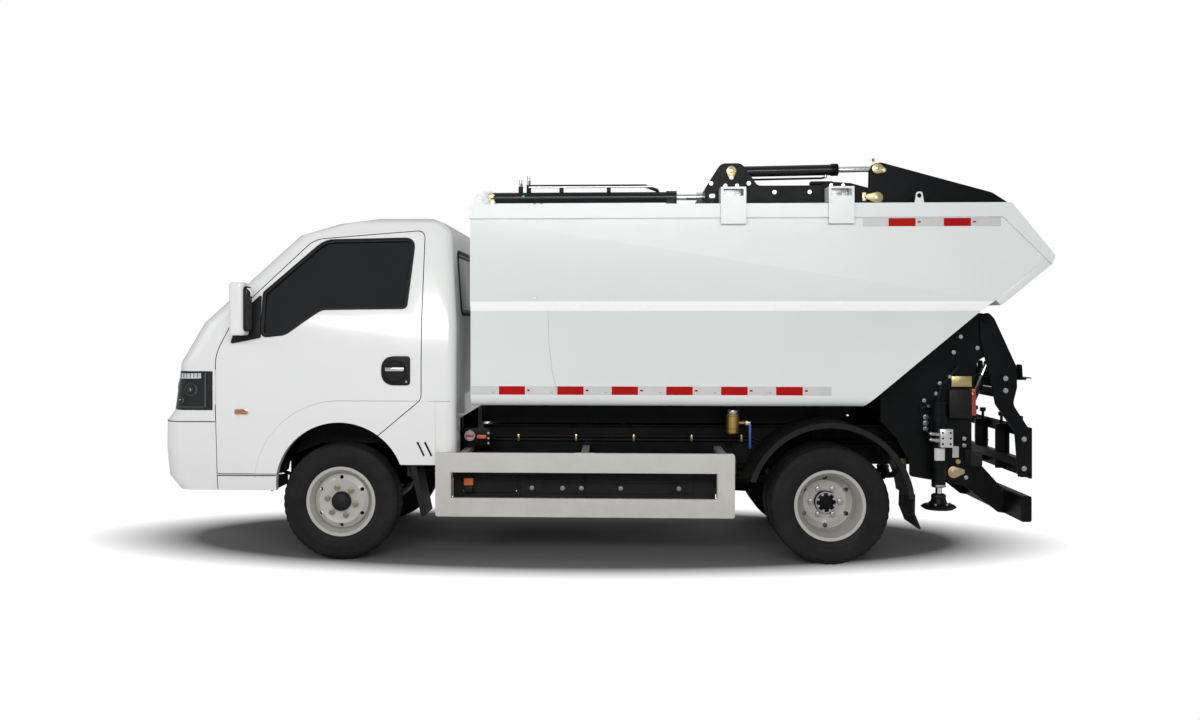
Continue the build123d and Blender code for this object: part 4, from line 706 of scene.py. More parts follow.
def add_rear_hub(piece, sign, radius):
    """Nuts, hub and shaft flange of the twin wheels."""
    face = (OUTER_Y + INNER_Y) / 2 * sign + sign * 0.018
    out = Vector((0, sign, 0))
    for k in range(6):
        turn = math.radians(60 * k)
        at = Vector((RX + radius * math.cos(turn), face, AXLE_Z + radius * math.sin(turn)))
        piece.hex_nut(at, out, 0.0155, 0.020, "steel")
    hub = [(0.0, 0.064), (0.028, 0.062), (0.042, 0.056), (0.046, 0.040), (0.050, 0.036), (0.052, 0.001)]
    piece.lathe(turned(hub, sign), (RX, face, AXLE_Z), "black", steps=40, closed=False)
    flange_r = 0.047
    for k in range(8):
        turn = math.radians(45 * k + 20)
        at = Vector((RX + flange_r * math.cos(turn), face + sign * 0.042, AXLE_Z + flange_r * math.sin(turn)))
        piece.bolt(at, out, 0.0065, "steel")
    piece.rod((RX + 0.10, face, AXLE_Z + 0.12), (RX + 0.105, face + sign * 0.09, AXLE_Z + 0.124), 0.0045,
              "steel", sides=10)


class TRUCK_OT_wheels(TruckOperator):
    """Tyres, rims, nuts and caps"""

    bl_idname = "truck.wheels"
    bl_label = "Wheels"

    def execute(self, context):
        sizes = context.scene.truck_sizes
        for side in SIDES:
            sign = mirrored(side)
            tyre = Piece(f"front_tyre_{side}_rubber")
            add_tyre(tyre, FRONT_HUB, FRONT_HUB.y * sign, sizes.tread_depth)
            tyre.finish(f"front_wheel_{side}", "tyre", (f"front_tyre_{side}",))
            twin = Piece(f"rear_tyres_{side}_rubber")
            for y in (OUTER_Y, INNER_Y):
                add_tyre(twin, REAR_HUB, y * sign, sizes.tread_depth)
            twin.finish(f"rear_wheels_{side}", "tyre", (f"rear_tyres_{side}",))
            dressed(f"front_rim_{side}", "rim", bevel=0.0015)
            dressed(f"rear_rims_{side}", "rim", bevel=0.0015)
            hub = Piece(f"front_hub_{side}")
            add_front_hub(hub, sign, sizes.nut_circle)
            hub.finish(f"front_wheel_{side}", "wheel_steel")
            hub = Piece(f"rear_hub_{side}")
            add_rear_hub(hub, sign, sizes.nut_circle)
            hub.finish(f"rear_wheels_{side}", "wheel_steel")
        return {"FINISHED"}


# ---- shapes on the cab ----
# Level and half width of the cab's flat sides.
CAB_SIDES = ((0.400, 0.785), (0.480, 0.800), (0.640, 0.812), (0.800, 0.824), (0.862, 0.830), (1.140, 0.830),
             (1.372, 0.818), (1.887, 0.700), (1.958, 0.650))
# Forward of the front axle, level, corner radius.
WINDOW_EDGE = ((0.450, 1.292, 0.030), (0.317, 1.306, 0.090), (0.110, 1.452, 0.110), (-0.382, 1.458, 0.025),
               (-0.418, 1.862, 0.055), (0.110, 1.852, 0.150), (0.450, 1.545, 0.020))
SCREEN_EDGE = ((-0.600, 1.408, 0.060), (-0.505, 1.852, 0.060), (0.505, 1.852, 0.060), (0.600, 1.408, 0.060))
BACK_EDGE = ((-0.520, 1.440, 0.050), (-0.500, 1.780, 0.060), (0.500, 1.780, 0.060), (0.520, 1.440, 0.050))
CORNER = (FX + 0.780, 0.560)


def side_y(z):
    """Half width of the cab at a level."""
    for (low, near), (high, far) in zip(CAB_SIDES, CAB_SIDES[1:]):
        if z <= high:
            return near + (far - near) * (z - low) / (high - low)
    return CAB_SIDES[-1][1]


def rounded_loop(rows, steps=8):
    """Points of a closed outline with round corners, from rows of (a, b, radius)."""
    points = []
    count = len(rows)
    for k, (a, b, radius) in enumerate(rows):
        corner = Vector((a, b))
        back = (Vector(rows[k - 1][:2]) - corner).normalized()
        ahead = (Vector(rows[(k + 1) % count][:2]) - corner).normalized()
        half = back.angle(ahead) / 2
        reach = radius / math.tan(half)
        start, end = corner + back * reach, corner + ahead * reach
        for step in range(steps + 1):
            t = step / steps
            points.append((1 - t) ** 2 * start + 2 * t * (1 - t) * corner + t * t * end)
    return points


def rounded_box(low, high, radius):
    """Rows of an upright rectangle between two corners, for rounded_loop."""
    return ((*low, radius), (low[0], high[1], radius), (*high, radius), (high[0], low[1], radius))


def widened(points, distance):
    """Closed loop moved outwards by a distance."""
    middle_point = sum(points, Vector((0, 0))) / len(points)
    moved = []
    for k, here in enumerate(points):
        way = (points[(k + 1) % len(points)] - points[k - 1]).normalized()
        out = Vector((way.y, -way.x))
        if out.dot(here - middle_point) < 0 and k == 0:
            return widened(points[::-1], distance)[::-1]
        moved.append(here + out * distance)
    return moved


def add_band(piece, rows, place, inner, outer, proud, finish):
    """Raised rubber band round an outline; place(a, b, lift) gives the point on the panel."""
    loop = []
    corners = rounded_loop(rows)
    for k, here in enumerate(corners):
        after = corners[(k + 1) % len(corners)]
        parts = max(1, round((after - here).length / 0.04))
        loop += [here.lerp(after, part / parts) for part in range(parts)]
    section = ((inner, -0.003), (inner, proud * 0.7), ((inner + outer) / 2, proud), (outer, proud * 0.6),
               (outer, -0.003))
    rings = []
    for distance, lift in section:
        rings.append([piece.bm.verts.new(place(p.x, p.y, lift)) for p in widened(loop, distance)])
    faces = []
    for one, two in zip(rings, rings[1:]):
        for k in range(len(loop)):
            after = (k + 1) % len(loop)
            faces.append(piece.bm.faces.new((one[k], one[after], two[after], two[k])))
    bmesh.ops.recalc_face_normals(piece.bm, faces=faces)
    piece.paint(faces, finish)


class CabSkin:
    """Outer skin of the cab, to lay trim on; lift raises a point off the skin."""

    def __init__(self):
        bm = bmesh.new()
        for node in ("cab_body", "front_bumper", "headlamps", "door_left", "door_right", "cab_glass"):
            bm.from_mesh(frame["nodes"][node].data)
        self.tree = BVHTree.FromBMesh(bm)
        bm.free()

    def meet(self, start, way):
        """Point and normal where a ray meets the skin."""
        return self.tree.ray_cast(Vector(start), Vector(way))[:2]

    def front(self, y, z, lift):
        """Point met from ahead of the cab."""
        spot, normal = self.meet((4, y, z), (-1, 0, 0))
        return spot + normal * lift

    def back(self, y, z, lift):
        """Point met from behind the cab."""
        spot, normal = self.meet((0.0, y, z), (1, 0, 0))
        return spot + normal * lift

    def corner(self, turn, z, sign):
        """Point on the rounded front corner, met at a turn from straight ahead."""
        way = Vector((math.cos(turn), sign * math.sin(turn), 0))
        return self.meet(Vector((CORNER[0], sign * CORNER[1], z)) + way * 2, -way)[0]

    def flank(self, x, z, lift, sign):
        """Point met from one side, x measured ahead of the front axle."""
        spot, normal = self.meet((FX + x, sign * 2, z), (0, -sign, 0))
        return spot + normal * lift


def add_line(piece, points, width, proud, finish, up):
    """Thin strip through points on a panel; up is the way that it faces."""
    up = Vector(up).normalized()
    rows = []
    for k, point in enumerate(points):
        here = Vector(point)
        way = Vector(points[min(k + 1, len(points) - 1)]) - Vector(points[max(k - 1, 0)])
        side = way.cross(up).normalized() * width / 2
        section = ((side, -0.002), (side, proud), (-side, proud), (-side, -0.002))
        rows.append([piece.bm.verts.new(here + across + up * lift) for across, lift in section])
    faces = []
    for one, two in zip(rows, rows[1:]):
        for k in range(3):
            faces.append(piece.bm.faces.new((one[k], two[k], two[k + 1], one[k + 1])))
    bmesh.ops.recalc_face_normals(piece.bm, faces=faces)
    piece.paint(faces, finish)


# ---- carried-over nodes ----
CHASSIS_NODES = {
    "chassis_frame": ("black", 0.0015), "front_axle": ("black", 0.002), "rear_axle": ("black", 0.002),
    "leaf_springs": ("black", 0.001), "knuckle_left": ("black", 0.002), "knuckle_right": ("black", 0.002),
    "drive_motor": ("black", 0.002), "side_guards": ("guard", 0.003), "battery_box": ("plastic", 0.002),
    "rear_fenders": ("plastic", 0.001), "arch_liners": ("plastic", 0.001),
}
REAR_NODES = {
    "rear_frame": ("black", 0.0015), "stabiliser_tubes": ("black", 0.0015),
    "underrun_beam": ("black", 0.002), "lifter_frame": ("black", 0.002), "lifter_comb": ("black", 0.0015),
    "lifter_barrels": ("barrel_black", 0.001), "lifter_rods": ("chrome", 0.0008),
}
LOAD_NODES = {
    "tipping_frame": ("black", 0.0015), "tip_barrel": ("barrel_black", 0.001),
    "tip_rod": ("chrome", 0.0008), "packer_arm": ("black_gloss", 0.002),
    "packer_barrels": ("barrel_black", 0.001), "packer_rods": ("chrome", 0.0008),
    "slide_rods": ("chrome", 0.0008),
}
CABIN_NODES = {
    "front_bumper": ("cab_white", 0.0), "dashboard": ("interior", 0.004), "steering_wheel": ("interior", 0.0),
    "seats": ("cloth", 0.006), "cab_glass": ("tinted", 0.0), "door_glass_left": ("tinted", 0.0),
    "door_glass_right": ("tinted", 0.0),
}


def dress_all(rows):
    """Dresses each node of a table with its finish and bevel."""
    for node, (finish, bevel) in rows.items():
        dressed(node, finish, bevel)


class TRUCK_OT_chassis(TruckOperator):
    """Frame, axles, springs, battery boxes, guards and mudguards"""

    bl_idname = "truck.chassis"
    bl_label = "Chassis"

    def execute(self, context):
        dress_all(CHASSIS_NODES)
        return {"FINISHED"}


class TRUCK_OT_rear(TruckOperator):
    """Rear frame, parking legs, underrun beam and bin lifter"""

    bl_idname = "truck.rear"
    bl_label = "Rear frame and lifter"

    def execute(self, context):
        dress_all(REAR_NODES)
        for side in SIDES:
            dressed(f"leg_{side}", "black", 0.0015, choose=self.leg_finish)
        dressed("tail_lamps", "plastic", 0.001, choose=self.lamp_finish)
        return {"FINISHED"}

    @staticmethod
    def leg_finish(centre, normal):
        return "chrome" if centre.z > 0.370 else None

    @staticmethod
    def lamp_finish(centre, normal):
        return "red_lens" if normal.x < -0.9 and abs(centre.y) > 0.66 else None


class TRUCK_OT_load(TruckOperator):
    """Container, tipping frame, ram, carriage and packer"""

    bl_idname = "truck.load"
    bl_label = "Container and packer"

    def execute(self, context):
        dress_all(LOAD_NODES)
        dressed("container", "box_white", 0.002, choose=self.waist_finish)
        dressed("carriage", "black_gloss", 0.002, choose=self.shoe_finish)
        dressed("slide_barrels", "barrel_black", 0.001, choose=self.foot_finish)
        return {"FINISHED"}

    # Faces of the waist band get the lighter white, a painted highlight.
    @staticmethod
    def waist_finish(centre, normal):
        return "waist_white" if 1.441 < centre.z < 1.492 and 0.807 < abs(centre.y) < 0.836 else None

    @staticmethod
    def shoe_finish(centre, normal):
        return "box_white" if abs(centre.y) > 0.742 else None

    @staticmethod
    def foot_finish(centre, normal):
        return "box_white" if centre.x > BOX_FRONT - 0.132 and abs(abs(centre.y) - SLIDE_Y) > 0.0115 else None


class TRUCK_OT_cab(TruckOperator):
    """Cab shell, doors, glass, mirrors and seats"""

    bl_idname = "truck.cab"
    bl_label = "Cab"

    def execute(self, context):
        dress_all(CABIN_NODES)
        dressed("cab_body", "cab_white", 0.0, choose=self.body_finish)
        for side in SIDES:
            dressed(f"door_{side}", "cab_white", 0.0, choose=self.door_finish)
            dressed(f"mirror_{side}", "cab_white", 0.0, choose=self.mirror_finish)
        dressed("headlamps", "lamp_black", 0.002)
        return {"FINISHED"}

    @staticmethod
    def body_finish(centre, normal):
        """Black rubber on the edges of the openings, dark trim inside."""
        inside = abs(centre.y) < side_y(centre.z) - 0.035 and FX - 0.61 < centre.x
        around_door = FX - 0.49 < centre.x < FX + 0.73 and centre.z > 0.485 and abs(centre.y) > 0.6
        arch = Vector((centre.x - FX, centre.z - ARCH_Z)).length < 0.385
        outward = normal.y * centre.y > 0.02 or (normal.z > 0.2 and centre.z > 1.3)
        if abs(normal.y) < 0.03 and around_door and not arch:
            return "seal"
        if inside and not outward and 0.45 < centre.z < 1.9 and centre.x < FX + 0.55:
            return "interior"
        return None

    @staticmethod
    def door_finish(centre, normal):
        return "interior" if abs(centre.y) < side_y(centre.z) - 0.040 else None

    @staticmethod
    def mirror_finish(centre, normal):
        return "plastic" if abs(centre.y) < 0.848 else None


# ---- cab trim ----
MIRROR_BACK = FX + 0.507
HANDLE = (FX - 0.329, 1.096)
MARKER = (FX + 0.568, 0.857)
FLARE_R = 0.5015
FLARE_Z = 0.9225
BUMPER_SEAM_Z = 0.800


class TRUCK_OT_cab_trim(TruckOperator):
    """Rubber bands, handles, markers, lamp optics, wipers and mirror glass"""

    bl_idname = "truck.cab_trim"
    bl_label = "Cab trim"

    def execute(self, context):
        skin = CabSkin()
        for side in SIDES:
            self.door_trim(side)
            self.side_trim(side)
            self.mirror_glass(side)
        trim = Piece("cab_front_trim")
        add_band(trim, SCREEN_EDGE, skin.front, -0.009, 0.030, 0.006, "seal")
        add_band(trim, BACK_EDGE, skin.back, -0.009, 0.028, 0.006, "seal")
        self.wipers(trim, skin)
        self.blank_plate(trim, skin)
        for sign in (1, -1):
            self.front_seams(trim, skin, sign)
            self.front_lamps(trim, skin, sign)
            self.side_lamps(trim, skin, sign)
        trim.finish(BODY_OF["cab_body"], "black_plastic")
        return {"FINISHED"}

    def door_trim(self, side):
        """Window band, handle in its cup, amber marker and a flare line of painted shade."""
        sign = mirrored(side)
        trim = Piece(f"door_trim_{side}")
        add_band(trim, WINDOW_EDGE, lambda a, b, lift: (FX + a, sign * (side_y(b) + lift - 0.001), b),
                 -0.012, 0.008, 0.004, "seal")
        self.handle(trim, sign)
        x, z = MARKER
        near = side_y(z)
        oval = rounded_loop(rounded_box((x - 0.041, z - 0.017), (x + 0.041, z + 0.017), 0.016))
        trim.plate(oval, sign * (near - 0.002), sign * (near + 0.004), "chrome", round_edges=0.001)
        # Dark strip along the crease of the wheel flare: painted shade.
        turns = [math.radians(90 - 6 * k) for k in range(15)]
        arc = [(FX - 0.470, FLARE_Z), (FX - 0.235, FLARE_Z)]
        arc += [(FX + FLARE_R * math.cos(t), ARCH_Z + FLARE_R * math.sin(t)) for t in turns]
        line = [(a, sign * (side_y(b) + 0.0004), b) for a, b in arc]
        add_line(trim, line, 0.0035, 0.0006, "crease", (0, sign, 0))
        trim.plate(widened(oval, -0.005), sign * (near + 0.003), sign * (near + 0.010), "amber_lens",
                   round_edges=0.003)
        trim.finish(BODY_OF[f"door_{side}"], "black_plastic")

    @staticmethod
    def handle(trim, sign):
        """Chrome grip on two feet over a round cup, on a dark plate with its lock."""
        x, z = HANDLE
        y = side_y(z)
        half = 0.084
        plate = rounded_loop(((x - half, z - half, 0.022), (x - half, z + half, 0.022),
                              (x + half, z + half, 0.080), (x + half, z - half, 0.080)), 10)
        trim.plate(plate, sign * (y - 0.002), sign * (y + 0.005), "plastic", round_edges=0.002)
        cup = [(0.0050, 0.066), (0.0085, 0.064), (0.0085, 0.060), (0.0055, 0.056), (0.0052, 0.020),
               (0.0052, 0.001)]
        trim.lathe(turned(cup, sign), (x + 0.002, sign * y, z - 0.004), "seal", steps=40, closed=False)
        trim.side_box(sign, (x - 0.052, x + 0.058), (y + 0.007, y + 0.022), (z - 0.003, z + 0.021), "chrome",
                      0.006)
        for end in (x - 0.048, x + 0.054):
            trim.rod((end, sign * (y + 0.002), z + 0.009), (end, sign * (y + 0.016), z + 0.009), 0.009,
                     "plastic", sides=16)
        trim.rod((x - 0.062, sign * y, z - 0.062), (x - 0.062, sign * (y + 0.007), z - 0.062), 0.006, "steel",
                 sides=16)

    @staticmethod
    def side_trim(side):
        """Two slanted slots behind the arch drawn as black strips of painted shade, the flare line of painted
        shade, the sill strip and the panel seam.
        """
        sign = mirrored(side)
        trim = Piece(f"cab_side_trim_{side}")
        slot_width = 0.011
        # Each slot is a black strip on a raised white rim: painted shade for the opening.
        for x in (FX - 0.453, FX - 0.496):
            for finish, width, proud in (("cab_white", 0.020, 0.0085), ("seal", slot_width, 0.0092)):
                spare = (width - slot_width) / 2
                top = Vector((x, sign * side_y(0.688), 0.688 + spare))
                low = Vector((x - 0.038, sign * side_y(0.607), 0.607 - spare))
                add_line(trim, (low, (low + top) / 2, top), width, proud, finish, (0, sign, 0))
        # Level part of the flare's crease, a dark strip of painted shade.
        flare_z = 0.9215
        level = [(x, sign * (side_y(flare_z) + 0.0005), flare_z) for x in (FX - 0.640, FX - 0.520)]
        add_line(trim, level, 0.004, 0.0006, "crease", (0, sign, 0))
        seam = [(FX + 0.7195, sign * (side_y(z) + 0.0002), z) for z in (0.405, 0.45, 0.485)]
        add_line(trim, seam, 0.004, 0.0006, "seal", (0, sign, 0))
        sill = [(FX + 0.722 - 0.058 * k, sign * side_y(0.487), 0.487) for k in range(7)]
        add_line(trim, sill, 0.006, 0.0006, "seal", (0, sign, 0))
        trim.finish(BODY_OF["cab_body"], "black_plastic")

    @staticmethod
    def mirror_glass(side):
        """Bezel and glass on the rear of the mirror housing, and the two feet of its arm."""
        sign = mirrored(side)
        trim = Piece(f"mirror_glass_{side}")
        bezel = rounded_loop(rounded_box((0.862, 1.322), (0.974, 1.578), 0.030))
        for outline, low, high, finish, soft in (
                (bezel, -0.012, 0.003, "plastic", 0.003),
                (widened(bezel, -0.009), -0.0135, -0.011, "mirror_face", 0.0)):
            trim.plate([(sign * a, b) for a, b in outline], MIRROR_BACK + low, MIRROR_BACK + high, finish,
                       plane="YZ", round_edges=soft)
        for z in (1.345, 1.490):
            trim.rod((FX + 0.545, sign * 0.822, z), (FX + 0.545, sign * 0.838, z + 0.002), 0.018, "plastic",
                     sides=20)
        trim.finish(BODY_OF[f"mirror_{side}"], "mirror_shell")

    @staticmethod
    def wipers(trim, skin):
        """Two wipers, parked along the foot of the screen."""
        for pivot_y, reach in ((0.46, 0.56), (-0.16, 0.44)):
            foot = skin.front(pivot_y, 1.335, 0.0)
            trim.rod(foot - Vector((0.010, 0, 0.01)), foot + Vector((0.022, 0, 0.022)), 0.017, "plastic",
                     radius_end=0.012, sides=20)
            knee = skin.front(pivot_y - 0.10, 1.385, 0.034)
            tip = skin.front(pivot_y - reach * 0.62, 1.440, 0.020)
            trim.tube((foot + Vector((0.020, 0, 0.02)), knee, tip), 0.0065, "plastic")
            blade = [skin.front(pivot_y - 0.10 - reach * k / 8, 1.432 + 0.004 * k, 0.010) for k in range(9)]
            add_line(trim, blade, 0.008, 0.014, "seal", (0.7, 0, 0.7))

    @staticmethod
    def blank_plate(trim, skin):
        """Number plate without a number, in its holder."""
        x = skin.front(0.0, 0.66, 0.0).x
        trim.box((x - 0.002, -0.220, 0.605), (x + 0.006, 0.220, 0.745), "plastic", 0.002)
        trim.box((x + 0.005, -0.214, 0.611), (x + 0.0085, 0.214, 0.739), "label", 0.001)

    @staticmethod
    def front_seams(trim, skin, sign):
        """Seam above the bumper, round the corner to the arch, and the edge of the front panel."""
        level = BUMPER_SEAM_Z
        front = [skin.front(sign * y, level, 0.0) for y in (0.02, 0.16, 0.30, 0.44, 0.55)]
        corner = [skin.corner(math.radians(5 * k), level, sign) for k in range(1, 18)]
        flank = [skin.flank(x, level, 0.0, sign) for x in (0.77, 0.724)]
        for rows, up in ((front + corner[:2], (1, 0.1 * sign, 0)), (corner[1:6], (1, 0.30 * sign, 0)),
                         (corner[5:11], (0.7, 0.7 * sign, 0)), (corner[10:] + flank, (0.1, sign, 0))):
            add_line(trim, rows, 0.005, 0.0015, "seal", up)
        panel = [(0.02 + 0.10 * k, 1.338 - 0.006 * k) for k in range(6)]
        panel += [(0.560, 1.295), (0.566, 1.240), (0.556, 1.180), (0.538, 1.100)]
        edge = [skin.front(sign * y, z, 0.0) for y, z in panel]
        add_line(trim, edge, 0.005, 0.0015, "seal", (1, 0.15 * sign, 0.1))

    @staticmethod
    def front_lamps(trim, skin, sign):
        """Optics on the front of the headlamps, each with a small bright disc of painted highlight at its
        centre, and the fog lamps in the bumper.
        """
        for y, z, radius in ((0.612, 0.985, 0.048), (0.566, 0.903, 0.024)):
            spot = skin.front(sign * y, z, 0.0)
            trim.rod(spot - Vector((0.004, 0, 0)), spot + Vector((0.004, 0, 0)), radius, "lamp_ring",
                     radius_end=radius * 0.90, sides=40)
            trim.rod(spot, spot + Vector((0.0048, 0, 0)), radius * 0.82, "lamp_black", sides=40)
            trim.ball(spot - Vector((0.002, 0, 0)), radius * 0.60, "smoked", flatten=(0.45, 0.8, 0.8),
                      sides=28)
            # Small bright disc at the centre: a painted highlight on the lens.
            trim.rod(spot, spot + Vector((0.010, 0, 0)), radius * 0.16, "lamp_strip_and_highlight", sides=16)
        turns = [math.tau * k / 28 for k in range(28)]
        fog = [skin.front(sign * (0.610 + 0.026 * math.cos(t)), 0.580 + 0.066 * math.sin(t), 0.0008)
               for t in turns]
        trim.paint([trim.bm.faces.new([trim.bm.verts.new(p) for p in fog[::sign]])], "lamp_black")
        for y, z, radius, finish in ((0.610, 0.600, 0.020, "clear"), (0.612, 0.550, 0.013, "amber_lens")):
            trim.ball(skin.front(sign * y, z, 0.0), radius, finish, flatten=(0.5, 1, 1))

    @staticmethod
    def side_lamps(trim, skin, sign):
        """Ribbed light strip, post, optics with a small bright disc of painted highlight at their centres,
        and lower ring of a headlamp's flank.
        """
        band = [skin.flank(x, 1.066 - 0.02 * (x - 0.75), 0.001, sign) for x in (0.80, 0.84, 0.88, 0.92, 0.95)]
        add_line(trim, band, 0.030, 0.003, "lamp_strip_and_highlight", (0.35, sign, 0.15))
        for k in range(7):
            rib = [skin.flank(0.80 + 0.022 * k, z, 0.0045, sign) for z in (1.054, 1.066, 1.079)]
            add_line(trim, rib, 0.0035, 0.0005, "lamp_ring", (0.35, sign, 0.15))
        post = [skin.flank(0.775, z, 0.0005, sign) for z in (0.885, 0.95, 1.02, 1.082)]
        add_line(trim, post, 0.012, 0.004, "lamp_ring", (0.35, sign, 0.05))
        for x, z, radius in ((0.865, 0.985, 0.040), (0.930, 0.925, 0.024)):
            skin_spot, normal = skin.meet((FX + x, sign * 2, z), (0, -sign, 0))
            spot = skin_spot - normal * 0.003
            trim.rod(spot, spot + normal * 0.006, radius, "lamp_ring", radius_end=radius * 0.90, sides=40)
            trim.rod(spot + normal * 0.002, spot + normal * 0.0065, radius * 0.84, "lamp_black", sides=40)
            trim.ball(spot + normal * 0.002, radius * 0.62, "smoked", flatten=(0.7, 0.45, 0.7), sides=28)
            # Small bright disc at the centre: a painted highlight on the lens.
            trim.rod(spot + normal * 0.004, spot + normal * 0.0125, radius * 0.16, "lamp_strip_and_highlight", sides=16)
        low = [skin.flank(x, 0.884, 0.001, sign) for x in (0.78, 0.82, 0.86, 0.90, 0.94)]
        add_line(trim, low, 0.008, 0.003, "lamp_ring", (0.35, sign, 0.1))


# ---- container trim ----
BOX_LOWER_Y = 0.808
TAPE_STEP = 0.3105
TAPE_LOW_Z = 0.959
TAPE_LOW_ENDS = (BOX_FRONT - 0.004, -1.361)
TAPE_HIGH_Z = 1.913
TAPE_HIGH_ENDS = (-1.529, -2.296)
SLIDE_Y = 0.560
SLIDE_Z = 2.112
PACK_LANE = 0.688
PACK_PLATE_Y = 0.737
SHOE_PLACES = (TAIL_X + 1.786, TAIL_X + 1.184)
PIN_FRONT = (TAIL_X + 1.786, 2.243)
PIN_PIVOT = (TAIL_X + 0.959, 2.085)
PIN_EYE = (TAIL_X + 0.952, 2.256)


def add_tape(piece, x0, x1, z, y, sign, reds, width, block_length):
    """White tape with red blocks and small red marks between them."""
    def strip(a, b, low, high, lift, finish):
        piece.side_box(sign, sorted((a, b)), (y - 0.0005, y + lift), (low, high), finish)

    strip(x0, x1, z, z + width, 0.0006, "tape_white")
    for x in reds:
        strip(x, x - block_length, z + 0.001, z + width - 0.001, 0.0009, "tape_red")
        mark = x - block_length - 0.012
        strip(mark, mark - 0.016, z + width * 0.42, z + width * 0.62, 0.0009, "tape_red")
        strip(x + 0.040, x + 0.028, z + width * 0.22, z + width * 0.36, 0.0009, "steel")


class TRUCK_OT_container_trim(TruckOperator):
    """Reflective tape, seams, lower tail flange and studs of the container"""

    bl_idname = "truck.container_trim"
    bl_label = "Container trim"

    def execute(self, context):
        sizes = context.scene.truck_sizes
        trim = Piece("container_trim")
        for side in SIDES:
            sign = mirrored(side)
            lower = [0.527] + [0.192 - TAPE_STEP * k for k in range(5)]
            add_tape(trim, *TAPE_LOW_ENDS, TAPE_LOW_Z, BOX_LOWER_Y, sign, lower, sizes.tape_width,
                     sizes.tape_block)
            add_tape(trim, *TAPE_HIGH_ENDS, TAPE_HIGH_Z, SIDE_Y, sign, (-1.674, -1.980),
                     sizes.tape_width - 0.002, sizes.tape_block)
            seam_y = sign * (BOX_LOWER_Y + 0.0002)
            seam = [(x, seam_y, z) for x, z in ((0.246, 1.438), (0.240, 1.25), (0.222, 1.10), (0.190, 0.957))]
            add_line(trim, seam, 0.0022, 0.0007, "crease", (0, sign, 0))
            flange = [(TAIL_X + 0.290, 1.472), (TAIL_X + 0.020, 1.694), (TAIL_X + 0.050, 1.728),
                      (TAIL_X + 0.325, 1.502)]
            trim.plate(flange, sign * (SIDE_Y - 0.001), sign * (SIDE_Y + 0.005), "box_white",
                       round_edges=0.0015)
            trim.bolt((0.320, sign * SIDE_Y, 1.512), (0, sign, 0), 0.007, "steel")
            trim.side_box(sign, (BOX_FRONT - 0.058, BOX_FRONT - 0.006), (0.300, 0.318), (0.762, 0.894),
                          "black", 0.002)
            for x in (BOX_FRONT - 0.010, -0.62, -1.46):
                joint = [(x, sign * 0.8535, z) for z in (1.967, 2.0, 2.043)]
                add_line(trim, joint, 0.003, 0.0005, "box_white", (0, sign, 0))
            weld = [(x, sign * (SIDE_Y + 0.002), 1.963) for x in (BOX_FRONT - 0.01, 0.0, -1.0, -2.24)]
            add_line(trim, weld, 0.007, 0.003, "box_white", (0, sign, 0))
        trim.finish(BODY_OF["container"], "white_paint")
        return {"FINISHED"}


def add_keeper(piece, at, y, sign, tail, finish="zinc", radius=0.028, thick=0.004, pin=0.014):
    """Teardrop plate over a pin end; tail is the way to its bolt."""
    x, z = at
    tail = Vector(tail)
    way = tail.normalized()
    start = math.atan2(way.y, way.x) + math.radians(60)
    points = []
    for k in range(17):
        t = start + math.radians(240) * k / 16
        points.append((x + radius * math.cos(t), z + radius * math.sin(t)))
    end = math.atan2(way.y, way.x) - math.radians(90)
    for k in range(7):
        t = end + math.pi * k / 6
        points.append((x + tail.x + radius * 0.5 * math.cos(t), z + tail.y + radius * 0.5 * math.sin(t)))
    piece.plate(points, sign * y, sign * (y + thick), finish, round_edges=0.0008)
    piece.rod((x, sign * (y + thick - 0.001), z), (x, sign * (y + thick + 0.003), z), pin, "steel", sides=24,
              round_edges=0.001)
    piece.bolt((x + tail.x, sign * (y + thick), z + tail.y), (0, sign, 0), 0.006, "steel")


